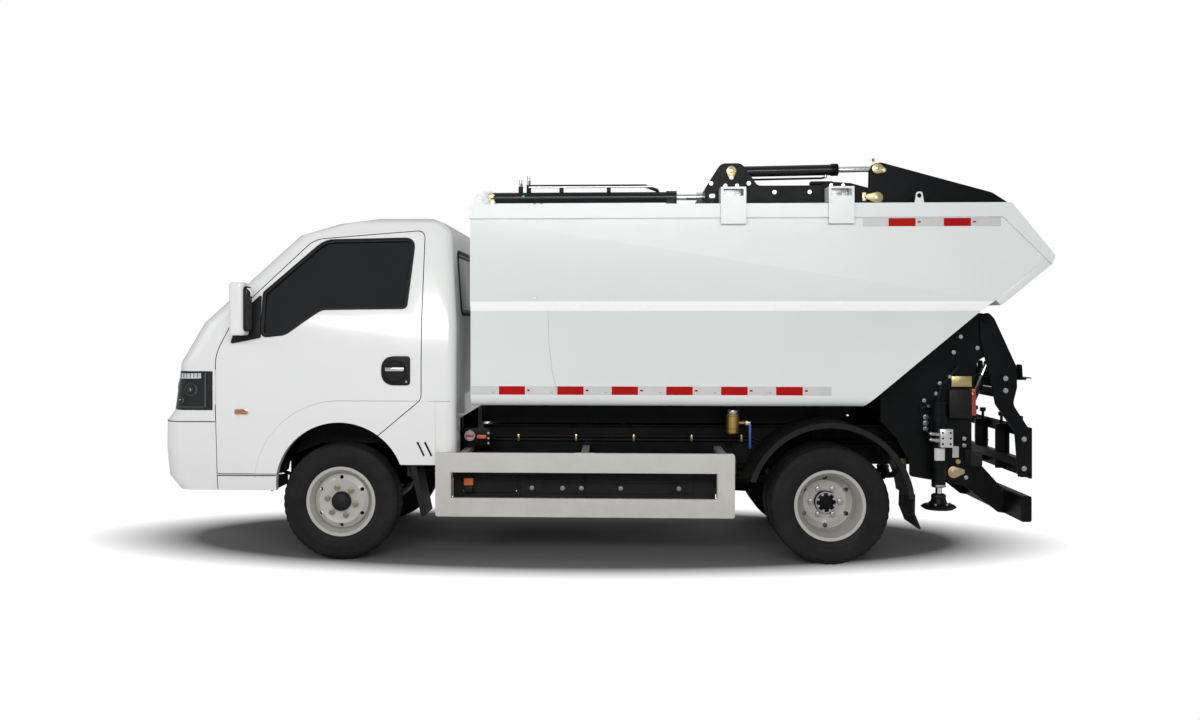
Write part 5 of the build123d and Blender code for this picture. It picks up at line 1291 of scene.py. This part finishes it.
class TRUCK_OT_packer_trim(TruckOperator):
    """Keeper plates, pipes, glands and bolts of the packer"""

    bl_idname = "truck.packer_trim"
    bl_label = "Packer trim"

    def execute(self, context):
        carriage = Piece("carriage_trim")
        barrels = Piece("packer_barrel_trim")
        arm = Piece("packer_arm_trim")
        pipes = Piece("slide_pipes")
        for side in SIDES:
            sign = mirrored(side)
            add_keeper(carriage, PIN_FRONT, PACK_PLATE_Y + 0.008, sign, (0.0, -0.040))
            add_keeper(carriage, PIN_PIVOT, PACK_PLATE_Y + 0.010, sign, (0.052, 0.006), radius=0.032)
            x, z = PIN_PIVOT
            stop_y = 0.743
            carriage.side_box(sign, (x + 0.060, x + 0.084), (PACK_PLATE_Y, stop_y), (z - 0.020, z + 0.032),
                              "zinc", 0.002)
            for up in (-0.010, 0.022):
                carriage.bolt((x + 0.072, sign * stop_y, z + up), (0, sign, 0), 0.005)
            for x in SHOE_PLACES:
                self.shoe_details(carriage, x, sign)
            for x, z in ((PIN_FRONT[0] + 0.115, 2.172), (PIN_FRONT[0] - 0.100, 2.172), (-0.70, 2.10),
                         (-1.05, 2.12), (-1.25, 2.12), (-1.46, 2.11), (TAIL_X + 1.90, 2.10)):
                carriage.bolt((x, sign * PACK_PLATE_Y, z), (0, sign, 0), 0.008)
            carriage.side_box(sign, (TAIL_X + 1.205, TAIL_X + 1.330), (PACK_LANE - 0.030, PACK_LANE + 0.030),
                              (2.166, 2.184), "black_gloss", 0.003)
            add_keeper(arm, PIN_EYE, 0.719, sign, (-0.036, -0.010), radius=0.030, thick=0.002, pin=0.012)
            x, y = PIN_EYE[0], sign * 0.715
            arm.rod((x + 0.020, y, 2.282), (x + 0.022, y, 2.300), 0.005, "steel", sides=12)
            arm.rod((x + 0.022, y, 2.296), (x + 0.024, y, 2.312), 0.0075, "red", sides=16, round_edges=0.002)
            self.barrel_details(barrels, sign)
            self.slide_details(pipes, sign)
        carriage.finish(BODY_OF["carriage"], "black_paint")
        barrels.finish(BODY_OF["packer_barrels"], "black_paint")
        arm.finish(BODY_OF["packer_arm"], "black_paint")
        pipes.finish(BODY_OF["slide_barrels"], "black_paint")
        return {"FINISHED"}

    @staticmethod
    def shoe_details(piece, x, sign):
        """Steel plate of a slide shoe with its bolts."""
        piece.side_box(sign, (x - 0.058, x + 0.058), (PACK_PLATE_Y + 0.0005, PACK_PLATE_Y + 0.006),
                       (2.078, 2.134), "steel", 0.001)
        for dx in (-0.040, 0.040):
            piece.bolt((x + dx, sign * (PACK_PLATE_Y + 0.006), 2.106), (0, sign, 0), 0.010)
            piece.bolt((x + dx * 0.85, sign * PACK_PLATE_Y, 2.158), (0, sign, 0), 0.0075)

    @staticmethod
    def barrel_details(piece, sign):
        """Gland at the mouth, ports on top and a pipe along the barrel."""
        start, end = [Vector((x, sign * PACK_LANE, z)) for x, z in (PIN_FRONT, PIN_EYE)]
        way = (end - start).normalized()
        mouth = start + way * (PIN_FRONT[0] - (TAIL_X + 1.170))
        for low, high, radius in ((mouth - way * 0.042, mouth - way * 0.002, 0.0355),
                                  (start + way * 0.062, start + way * 0.074, 0.0335)):
            piece.rod(low, high, radius, "black_gloss", sides=40, round_edges=0.002)
        below = Vector((0, 0, -1))
        for reach in (0.10, 0.545):
            foot = start + way * reach
            piece.rod(foot + below * 0.028, foot + below * 0.044, 0.010, "steel", sides=16)
        run = [start + way * 0.10 + below * 0.042, start + way * 0.13 + below * 0.047,
               start + way * 0.52 + below * 0.047, start + way * 0.545 + below * 0.042]
        piece.tube(run, 0.006, "plastic")

    @staticmethod
    def slide_details(piece, sign):
        """Return pipe above the barrel with its fittings, keeper on the foot."""
        y = sign * SLIDE_Y
        top = SLIDE_Z + 0.032
        rear_port = 0.374
        for x, height in ((0.422, 0.075), (rear_port, 0.098)):
            piece.rod((x, y, top - 0.004), (x, y, top + height * 0.45), 0.014, "plastic", sides=16)
            piece.rod((x, y, top + height * 0.40), (x, y, top + height * 0.70), 0.0125, "steel", sides=6)
            piece.rod((x, y, top + height * 0.70), (x, y, top + height), 0.009, "steel", sides=16)
        run = ((rear_port, 0.036), (-0.315, 0.036), (-0.385, 0.010), (-0.392, -0.006))
        piece.tube([(x, y, top + up) for x, up in run], 0.010, "plastic")
        piece.tube([(x, y + sign * 0.016, top + 0.030) for x in (rear_port, -0.360)], 0.006, "steel")
        for x in (0.18, -0.10):
            piece.box((x - 0.012, y - 0.02, top - 0.004), (x + 0.012, y + 0.02, top + 0.030), "plastic",
                      0.002)
        piece.rod((0.405, y + sign * 0.026, 2.118), (0.405, y + sign * 0.032, 2.118), 0.008, "green",
                  sides=16)
        add_keeper(piece, (0.596, 2.118), SLIDE_Y + 0.026, sign, (-0.006, -0.038), radius=0.022)


# ---- chassis trim ----
RAIL_Y = 0.370
BATTERY_Y = 0.640


class TRUCK_OT_chassis_trim(TruckOperator):
    """Canister, valve, switches, ribs, bolts and pipes beside the frame"""

    bl_idname = "truck.chassis_trim"
    bl_label = "Chassis trim"

    def execute(self, context):
        trim = Piece("chassis_trim")
        self.canister(trim)
        self.switches(trim)
        for side in SIDES:
            sign = mirrored(side)
            self.battery_details(trim, sign)
            self.pipes(trim, sign)
            self.guard_details(trim, sign)
            self.spring_details(trim, sign)
            self.gap_shade_sheets(trim, sign)
            self.arch_shade_sheet(trim, sign)
        trim.finish(BODY_OF["chassis_frame"], "black_paint")
        for side in SIDES:
            self.arch_band(side)
            self.brake_shield(side)
        return {"FINISHED"}

    @staticmethod
    def gap_shade_sheets(piece, sign):
        """Thin black sheets that close the gaps between and below the battery boxes; they stand for the shade
        in the gaps, as painted shade.
        """
        x0, x1 = RX + 0.760, FX - 0.690
        for a, b, low, high in (
                (x0 + 0.618, x0 + 0.642, 0.330, 0.575), (x1 - 0.342, x1 - 0.318, 0.318, 0.575),
                (x1 - 0.320, x1, 0.318, 0.380), (x1 - 0.002, x1 + 0.058, 0.318, 0.575),
                (x0 - 0.130, x0 + 0.002, 0.322, 0.575)):
            piece.side_box(sign, (a, b), (0.626, 0.630), (low, high), "plastic")

    @staticmethod
    def arch_shade_sheet(piece, sign):
        """Black sheet between the front spring and the wheel that closes the view through the arch; it stands
        for the shade there, as painted shade.
        """
        near, far = sorted((sign * 0.436, sign * 0.440))
        turns = [math.radians(-2 + 184 * k / 24) for k in range(25)]
        rows = [(FX + 0.390 * math.cos(t), ARCH_Z + 0.402 * math.sin(t)) for t in turns]
        rows += [(FX - 0.390, 0.560), (FX - 0.200, 0.640), (FX + 0.200, 0.640), (FX + 0.390, 0.560)]
        faces = piece.plate(rows, near, far, "plastic")
        # The outline crosses itself near its two ends, which turns the faces in: they are turned back.
        bmesh.ops.reverse_faces(piece.bm, faces=faces)

    @staticmethod
    def arch_band(side):
        """Rubber band between the liner and the cab side, run down ahead of the wheel."""
        sign = mirrored(side)
        band = Piece(f"arch_band_{side}")
        centre = Vector((FX, 0, ARCH_Z))
        inner, outer, rim_y = 0.4075, 0.4125, 0.772
        rows = []
        for k in range(41):
            turn = math.radians(-4.0 + 172.0 * k / 40)
            way = Vector((math.cos(turn), 0, math.sin(turn)))
            near = 0.440 if turn < math.radians(8.5) else 0.744
            rows.append([band.bm.verts.new(centre + way * r + Vector((0, sign * y, 0)))
                         for r, y in ((inner, near), (inner, rim_y), (outer, rim_y), (outer, near))])
        faces = []
        for one, two in zip(rows, rows[1:]):
            for j in range(4):
                faces.append(band.bm.faces.new((one[j], two[j], two[(j + 1) % 4], one[(j + 1) % 4])))
        band.bm.faces.new(rows[0])
        band.bm.faces.new(rows[-1])
        bmesh.ops.recalc_face_normals(band.bm, faces=band.bm.faces)
        band.paint(band.bm.faces, "plastic")
        band.finish(BODY_OF["arch_liners"], "black_plastic")

    @staticmethod
    def brake_shield(side):
        """Thin shield between the brake drum and the rim."""
        sign = mirrored(side)
        shield = Piece(f"brake_shield_{side}")
        rows = [(0.0, 0.030), (0.0, 0.152), (-0.012, 0.156), (-0.014, 0.154), (-0.003, 0.150),
                (-0.003, 0.030)]
        shield.lathe(turned(rows, sign), (FX, sign * 0.676, AXLE_Z), "black", steps=48)
        shield.finish(BODY_OF[f"knuckle_{side}"], "black_paint")

    @staticmethod
    def canister(piece):
        """Brass filter with its tap and blue lever, on a bracket from the rail."""
        x, y = -0.825, 0.620
        piece.box((x - 0.020, RAIL_Y - 0.002, 0.615), (x + 0.020, RAIL_Y + 0.006, 0.830), "black", 0.001)
        piece.box((x - 0.020, RAIL_Y, 0.820), (x + 0.020, y, 0.828), "black", 0.001)
        rows = [(-0.066, 0.001), (-0.066, 0.030), (-0.060, 0.036), (-0.040, 0.0365), (-0.038, 0.0345),
                (-0.034, 0.0345), (-0.032, 0.0365), (0.034, 0.0365), (0.036, 0.0335), (0.040, 0.0335),
                (0.042, 0.0375), (0.048, 0.0375), (0.048, 0.001)]
        piece.lathe(rows, (x, y, 0.790), "brass", steps=36, axis="Z", closed=False)
        piece.rod((x, y, 0.838), (x, y, 0.862), 0.033, "steel", sides=36, round_edges=0.003)
        piece.rod((x - 0.030, y, 0.788), (x - 0.070, y, 0.788), 0.010, "brass", sides=6)
        piece.ball((x - 0.078, y, 0.788), 0.015, "brass")
        piece.rod((x - 0.078, y + 0.010, 0.790), (x - 0.078, y + 0.028, 0.792), 0.007, "steel", sides=12)
        piece.box((x - 0.100, y + 0.022, 0.776), (x - 0.070, y + 0.026, 0.796), "steel", 0.002)
        piece.box((x - 0.103, y + 0.020, 0.640), (x - 0.090, y + 0.030, 0.782), "blue", 0.004)

    @staticmethod
    def switches(piece):
        """Battery switch and plugs behind the cab."""
        x, y = FX - 0.722, 0.560
        piece.box((x - 0.120, RAIL_Y, 0.655), (x + 0.045, y - 0.006, 0.667), "black", 0.001)
        piece.box((x - 0.120, y - 0.012, 0.640), (x + 0.045, y - 0.004, 0.745), "black", 0.002)
        ring = [(0.0, 0.034), (0.006, 0.034), (0.010, 0.031), (0.010, 0.025), (0.005, 0.023), (0.004, 0.001)]
        piece.lathe(ring, (x, y - 0.004, 0.700), "steel", steps=32, closed=False)
        piece.box((x - 0.022, y, 0.692), (x + 0.022, y + 0.016, 0.706), "red", 0.003)
        piece.box((x - 0.100, y - 0.004, 0.684), (x - 0.045, y + 0.026, 0.706), "orange", 0.004)
        piece.rod((x - 0.100, y + 0.010, 0.695), (x - 0.140, y + 0.010, 0.715), 0.007, "plastic", sides=12)
        for k in range(3):
            piece.bolt((x - 0.110, y - 0.004, 0.655 + 0.03 * k), (0, 1, 0), 0.005)

    @staticmethod
    def battery_details(piece, sign):
        """Ribs, latches and bolts on the outer faces of the boxes, with the service plug."""
        face = BATTERY_Y
        for ends, levels in (((0.040, 0.400), (0.345, 0.372, 0.432, 0.459, 0.486)),
                             ((-0.575, 0.015), (0.372, 0.432, 0.486))):
            for z in levels:
                piece.side_box(sign, ends, (face - 0.002, face + 0.004), (z, z + 0.010), "plastic", 0.002)
        for x in (0.350, 0.170, -0.170, -0.510, 0.060):
            piece.bolt((x, sign * face, 0.402), (0, sign, 0), 0.009)
        for x in (-0.40, -0.10, 0.25, 0.62):
            piece.side_box(sign, (x - 0.018, x + 0.018), (face + 0.004, face + 0.012), (0.530, 0.585),
                           "steel", 0.002)
        x = FX - 0.728
        deep = (face - 0.001, face + 0.034)
        piece.side_box(sign, (FX - 0.756, FX - 0.700), deep, (0.418, 0.462), "orange", 0.005)
        piece.side_box(sign, (FX - 0.752, FX - 0.704), deep, (0.378, 0.414), "plastic", 0.004)
        piece.rod((x, sign * (face + 0.020), 0.460), (x, sign * (face + 0.020), 0.500), 0.010, "plastic",
                  sides=14)

    @staticmethod
    def pipes(piece, sign):
        """Two lines along the rail with their clips."""
        y = sign * (RAIL_Y + 0.014)
        for z, radius in ((0.662, 0.008), (0.684, 0.006)):
            run = [(0.60, y, z), (-0.95, y, z), (-1.02, y, z - 0.03), (-1.80, y, z - 0.03)]
            piece.tube(run, radius, "plastic")
        for x in (0.45, 0.1, -0.25, -0.6, -0.9):
            piece.side_box(sign, (x - 0.006, x + 0.006), (RAIL_Y - 0.010, RAIL_Y + 0.024), (0.652, 0.694),
                           "zinc", 0.002)

    @staticmethod
    def guard_details(piece, sign):
        """Bolts on the guard's brackets, and a blank label on the left guard."""
        if sign > 0:
            piece.box((-0.020, 0.822, 0.6295), (0.090, 0.842, 0.6312), "label")
        for x in (RX + 0.598, (RX + FX - 0.022) / 2, FX - 0.710):
            for dx in (-0.012, 0.012):
                piece.bolt((x + dx, sign * 0.790, 0.624), (0, 0, 1), 0.006)

    @staticmethod
    def spring_details(piece, sign):
        """Shackles and clips of the rear leaf springs."""
        y = sign * 0.392
        for x in (RX - 0.508, RX + 0.508):
            link = rounded_loop(rounded_box((x - 0.022, 0.452), (x + 0.022, 0.560), 0.020))
            piece.plate(link, y, y + sign * 0.008, "bronze", round_edges=0.001)
            for z in (0.470, 0.542):
                piece.hex_nut((x, y + sign * 0.008, z), (0, sign, 0), 0.014, 0.010, "zinc")
        for x in (RX - 0.26, RX + 0.26):
            piece.side_box(sign, (x - 0.012, x + 0.012), (0.388, 0.394), (0.395, 0.450), "steel", 0.001)


# ---- rear trim ----
PLATE_Y = 0.612
LIFTER_Y = 0.630
LEG_AT = (RX - 0.639, 0.690)


class TRUCK_OT_rear_trim(TruckOperator):
    """Valve blocks, labels, keepers, markers, studs and bolts of the rear frame and lifter"""

    bl_idname = "truck.rear_trim"
    bl_label = "Rear trim"

    def execute(self, context):
        frame_trim = Piece("rear_frame_trim")
        lifter_trim = Piece("lifter_trim")
        for side in SIDES:
            sign = mirrored(side)
            self.valve_block(frame_trim, sign)
            self.plate_details(frame_trim, sign)
            self.leg_details(side)
            for x, z in ((0.20, 1.05), (0.20, 0.98), (0.095, 0.70), (0.095, 0.53)):
                lifter_trim.bolt((TAIL_X + x, sign * LIFTER_Y, z), (0, sign, 0), 0.010)
        x = TAIL_X + 0.075
        for y in (-0.50, -0.34, -0.18, 0.18, 0.34, 0.50):
            lifter_trim.rod((x, y, 0.745), (x, y, 0.800), 0.009, "plastic", sides=14)
            lifter_trim.rod((x, y, 0.798), (x, y, 0.824), 0.019, "seal", sides=24, round_edges=0.004)
        for y in (-0.60, -0.40, -0.18, 0.18, 0.40, 0.60):
            for z in (0.500, 0.615, 0.735):
                lifter_trim.bolt((TAIL_X + 0.046, y * 0.985, z), (-1, 0, 0), 0.006)
        lifter_trim.box((TAIL_X + 0.044, -0.580, 0.715), (TAIL_X + 0.0465, 0.580, 0.755), "tape_white")
        for k in range(4):
            y = -0.54 + 0.30 * k
            lifter_trim.box((TAIL_X + 0.0435, y, 0.716), (TAIL_X + 0.0466, y + 0.15, 0.754), "tape_red")
        frame_trim.finish(BODY_OF["rear_frame"], "black_paint")
        lifter_trim.finish(BODY_OF["lifter_frame"], "black_paint")
        return {"FINISHED"}

    @staticmethod
    def valve_block(piece, sign):
        """Aluminium block on the leg's tube, with ports, two fittings and labels."""
        x, y = LEG_AT
        piece.side_box(sign, (x - 0.060, x + 0.012), (y + 0.038, y + 0.082), (0.664, 0.768), "reflector",
                       0.003)
        face = sign * (y + 0.082)
        for row in range(3):
            z = 0.684 + 0.032 * row
            for dx in (-0.046, -0.002):
                piece.rod((x + dx, face - sign * 0.002, z), (x + dx, face + sign * 0.001, z), 0.006, "seal",
                          sides=16)
        for z in (0.704, 0.738):
            at = sign * (y + 0.060)
            piece.rod((x + 0.010, at, z), (x + 0.034, at, z), 0.014, "steel", sides=6)
            piece.rod((x + 0.034, at, z), (x + 0.060, at, z + 0.003), 0.010, "steel", sides=16)
            piece.ball((x + 0.060, at, z + 0.003), 0.012, "steel")
            run = [(x + 0.060, end, z + 0.003) for end in (at, sign * (PLATE_Y + 0.012))]
            piece.tube(run, 0.008, "plastic")
        tube_r = 0.0405
        for k in range(13):
            t = math.radians(-42 + 7 * k)
            u = math.radians(-42 + 7 * (k + 1))
            quad = [(x + tube_r * math.sin(a), sign * (y + tube_r * math.cos(a)), z)
                    for a, z in ((t, 0.585), (u, 0.585), (u, 0.655), (t, 0.655))]
            piece.paint([piece.bm.faces.new([piece.bm.verts.new(p) for p in quad[::-sign]])], "label")

    @staticmethod
    def plate_details(piece, sign):
        """Bolts, gold bracket, side marker, keeper and blank label on the frame plate."""
        out = (0, sign, 0)
        for z in (0.825, 0.790, 0.755):
            piece.bolt((-1.939, sign * PLATE_Y, z), out, 0.011)
        for x, z in ((-2.235, 1.225), (-2.275, 1.225), (-2.275, 1.385), (-2.10, 1.20), (-2.02, 1.02),
                     (-2.00, 0.96), (-1.93, 0.92), (-2.16, 0.70), (-2.16, 0.66), (-1.98, 0.55),
                     (-2.17, 0.475), (-2.14, 1.29)):
            piece.bolt((x, sign * PLATE_Y, z), out, 0.008)
        for x, near, far, z, finish, soft in (
                ((-2.200, -2.085), -0.001, 0.010, (1.000, 1.062), "zinc", 0.002),
                ((-2.190, -2.060), -0.001, 0.050, (0.820, 0.985), "plastic", 0.008),
                ((-2.212, -2.188), 0.004, 0.052, (0.836, 0.974), "red_lens", 0.004),
                ((-2.206, -2.190), 0.004, 0.052, (0.974, 0.990), "orange", 0.002)):
            piece.side_box(sign, x, (PLATE_Y + near, PLATE_Y + far), z, finish, soft)
        add_keeper(piece, (-2.100, 0.505), PLATE_Y, sign, (-0.046, 0.004), radius=0.034)
        piece.rod((-2.122, sign * PLATE_Y, 0.568), (-2.122, sign * (PLATE_Y + 0.012), 0.568), 0.015, "zinc",
                  sides=6)
        piece.side_box(sign, (-2.128, -2.092), (PLATE_Y, PLATE_Y + 0.0012), (0.590, 0.655), "label")
        tie = sign * (PLATE_Y + 0.020)
        run = ((-1.90, 0.875), (-2.00, 0.905), (-2.02, 1.00), (-2.12, 1.12))
        piece.tube([(x, tie, z) for x, z in run], 0.007, "plastic")
        for x, z in ((-1.95, 0.89), (-2.07, 1.06)):
            piece.rod((x, sign * (PLATE_Y - 0.001), z), (x, sign * (PLATE_Y + 0.028), z), 0.010, "steel",
                      sides=14)

    @staticmethod
    def leg_details(side):
        """Gland ring at the foot of the tube and a bolted ball cup on the foot."""
        sign = mirrored(side)
        x, y = LEG_AT
        gland = Piece(f"leg_gland_{side}")
        ring = [(0.0, 0.0325), (0.0, 0.0360), (-0.004, 0.0400), (-0.016, 0.0400), (-0.020, 0.0360),
                (-0.020, 0.0325)]
        gland.lathe(ring, (x, sign * y, 0.449), "steel", steps=40, axis="Z")
        gland.finish(BODY_OF["stabiliser_tubes"], "black_paint")
        foot = Piece(f"leg_foot_{side}")
        circle = 0.064
        for k in range(6):
            t = math.radians(60 * k)
            foot.bolt((x + circle * math.cos(t), sign * y + circle * math.sin(t), 0.333), (0, 0, 1), 0.007)
        cup = [(0.0, 0.040), (0.010, 0.043), (0.020, 0.040), (0.026, 0.030), (0.028, 0.0185)]
        foot.lathe(cup, (x, sign * y, 0.366), "plastic", steps=32, axis="Z", closed=False)
        foot.finish(BODY_OF[f"leg_{side}"], "black_paint")


# ---- stage ----
# The dark grey oval of floor round the truck is a painted shadow; outside it the floor fades to white.
PAINTED_SHADOW_GREY = 0.18
PAINTED_SHADOW_OVAL = (0.328, 0.83, 1.0)
FADE_FROM, FADE_TO = 0.78, 1.02
FLOOR_GLOW = 0.58
WORLD_LIGHT = 0.40


class TRUCK_OT_stage(TruckOperator):
    """Floor, lights, world and camera"""

    bl_idname = "truck.stage"
    bl_label = "Stage"

    def execute(self, context):
        self.floor()
        self.world(context.scene)
        self.lamps()
        self.camera(context.scene)
        context.scene.view_settings.view_transform = "Standard"
        return {"FINISHED"}

    @staticmethod
    def floor():
        """Floor that is dark grey in an oval round the truck, a painted shadow that the truck's own shadow
        falls on, and fades to white away from it.
        """
        mesh = bpy.data.meshes.new("floor")
        bm = bmesh.new()
        bmesh.ops.create_grid(bm, x_segments=2, y_segments=2, size=60.0)
        bm.to_mesh(mesh)
        bm.free()
        floor = bpy.data.objects.new("floor", mesh)
        bpy.context.scene.collection.objects.link(floor)
        material, tree, shader = shader_of("Studio floor")
        # Dark grey base: painted shadow round the truck.
        shader.inputs["Base Color"].default_value = (PAINTED_SHADOW_GREY, PAINTED_SHADOW_GREY, PAINTED_SHADOW_GREY, 1)
        shader.inputs["Roughness"].default_value = 0.9
        mapping = tree.nodes.new("ShaderNodeMapping")
        mapping.inputs["Location"].default_value = (-0.05, 0.0, 0.0)
        mapping.inputs["Scale"].default_value = PAINTED_SHADOW_OVAL
        tree.links.new(object_coords(tree), mapping.inputs["Vector"])
        length = tree.nodes.new("ShaderNodeVectorMath")
        length.operation = "LENGTH"
        tree.links.new(mapping.outputs[0], length.inputs[0])
        fade = ramp_range(tree, length.outputs["Value"], FADE_FROM, FADE_TO)
        white = tree.nodes.new("ShaderNodeEmission")
        white.inputs["Color"].default_value = (1, 1, 1, 1)
        path = tree.nodes.new("ShaderNodeLightPath")
        strength = ramp_range(tree, path.outputs["Is Camera Ray"], 0.0, 1.0, FLOOR_GLOW, 1.0)
        tree.links.new(strength, white.inputs["Strength"])
        blend = tree.nodes.new("ShaderNodeMixShader")
        tree.links.new(fade, blend.inputs[0])
        tree.links.new(shader.outputs[0], blend.inputs[1])
        tree.links.new(white.outputs[0], blend.inputs[2])
        output = tree.nodes["Material Output"]
        tree.links.new(blend.outputs[0], output.inputs["Surface"])
        mesh.materials.append(material)

    @staticmethod
    def world(scene):
        """White to the eye and in reflections, softer as a light."""
        world = bpy.data.worlds.new("Studio")
        scene.world = world
        world.use_nodes = True
        tree = world.node_tree
        background = tree.nodes["Background"]
        path = tree.nodes.new("ShaderNodeLightPath")
        seen = math_node(tree, "MAXIMUM", path.outputs["Is Camera Ray"], path.outputs["Is Transmission Ray"])
        background.inputs["Color"].default_value = (1, 1, 1, 1)
        tree.links.new(ramp_range(tree, seen, 0.0, 1.0, WORLD_LIGHT, 1.0), background.inputs["Strength"])

    @staticmethod
    def lamps():
        """Soft rectangular lamps: name, place, size and power, all aimed at the truck's middle."""
        rows = (
            ("key", (0.3, 7.8, 3.3), (6.5, 1.5), 290.0),
            ("fill", (6.0, 3.0, 3.5), (4.0, 3.0), 40.0),
            ("top", (0.0, 0.0, 6.5), (6.0, 2.4), 30.0),
            ("back", (-3.0, -6.5, 5.5), (5.0, 3.0), 40.0),
            ("tail", (-6.5, -0.8, 3.4), (4.0, 3.0), 95.0),
        )
        for name, place, size, power in rows:
            light = bpy.data.lights.new(name, "AREA")
            light.shape = "RECTANGLE"
            light.size, light.size_y = size
            light.energy = power
            lamp = bpy.data.objects.new(name, light)
            bpy.context.scene.collection.objects.link(lamp)
            lamp.location = place
            aim = Vector((0, 0, 1.0)) - Vector(place)
            lamp.rotation_euler = aim.to_track_quat("-Z", "Y").to_euler()

    @staticmethod
    def camera(scene):
        """Camera of the main view."""
        data = bpy.data.cameras.new("camera")
        data.sensor_width = 36.0
        data.lens = LENS_MM
        data.shift_x, data.shift_y = SHIFT
        data.clip_end = 200.0
        camera = bpy.data.objects.new("camera", data)
        scene.collection.objects.link(camera)
        camera.location = CAMERA_AT
        forward = Vector((math.sin(CAMERA_TURN), -math.cos(CAMERA_TURN), 0.0))
        camera.rotation_euler = forward.to_track_quat("-Z", "Y").to_euler()
        scene.camera = camera


class TRUCK_PT_panel(bpy.types.Panel):
    """Sidebar panel of the truck"""

    bl_label = "Light refuse truck"
    bl_idname = "TRUCK_PT_panel"
    bl_space_type = "VIEW_3D"
    bl_region_type = "UI"
    bl_category = "Truck"

    def draw(self, context):
        layout = self.layout
        for group in (context.scene.truck_sizes, context.scene.truck_colours):
            for name in group.__annotations__:
                layout.prop(group, name)
        for operator in OPERATORS:
            layout.operator(operator.bl_idname)


OPERATORS = (TRUCK_OT_stage, TRUCK_OT_chassis, TRUCK_OT_rear, TRUCK_OT_load, TRUCK_OT_cab, TRUCK_OT_wheels,
             TRUCK_OT_cab_trim, TRUCK_OT_container_trim, TRUCK_OT_packer_trim, TRUCK_OT_chassis_trim,
             TRUCK_OT_rear_trim)
CLASSES = (TruckColours, TruckSizes, *OPERATORS, TRUCK_PT_panel)


def register():
    for each in CLASSES:
        bpy.utils.register_class(each)
    bpy.types.Scene.truck_colours = bpy.props.PointerProperty(type=TruckColours)
    bpy.types.Scene.truck_sizes = bpy.props.PointerProperty(type=TruckSizes)


def unregister():
    del bpy.types.Scene.truck_sizes
    del bpy.types.Scene.truck_colours
    for each in reversed(CLASSES):
        bpy.utils.unregister_class(each)


def main():
    register()
    make_materials(bpy.context.scene.truck_colours)
    for operator in OPERATORS:
        group, name = operator.bl_idname.split(".")
        getattr(getattr(bpy.ops, group), name)()


if __name__ == "__main__":
    main()
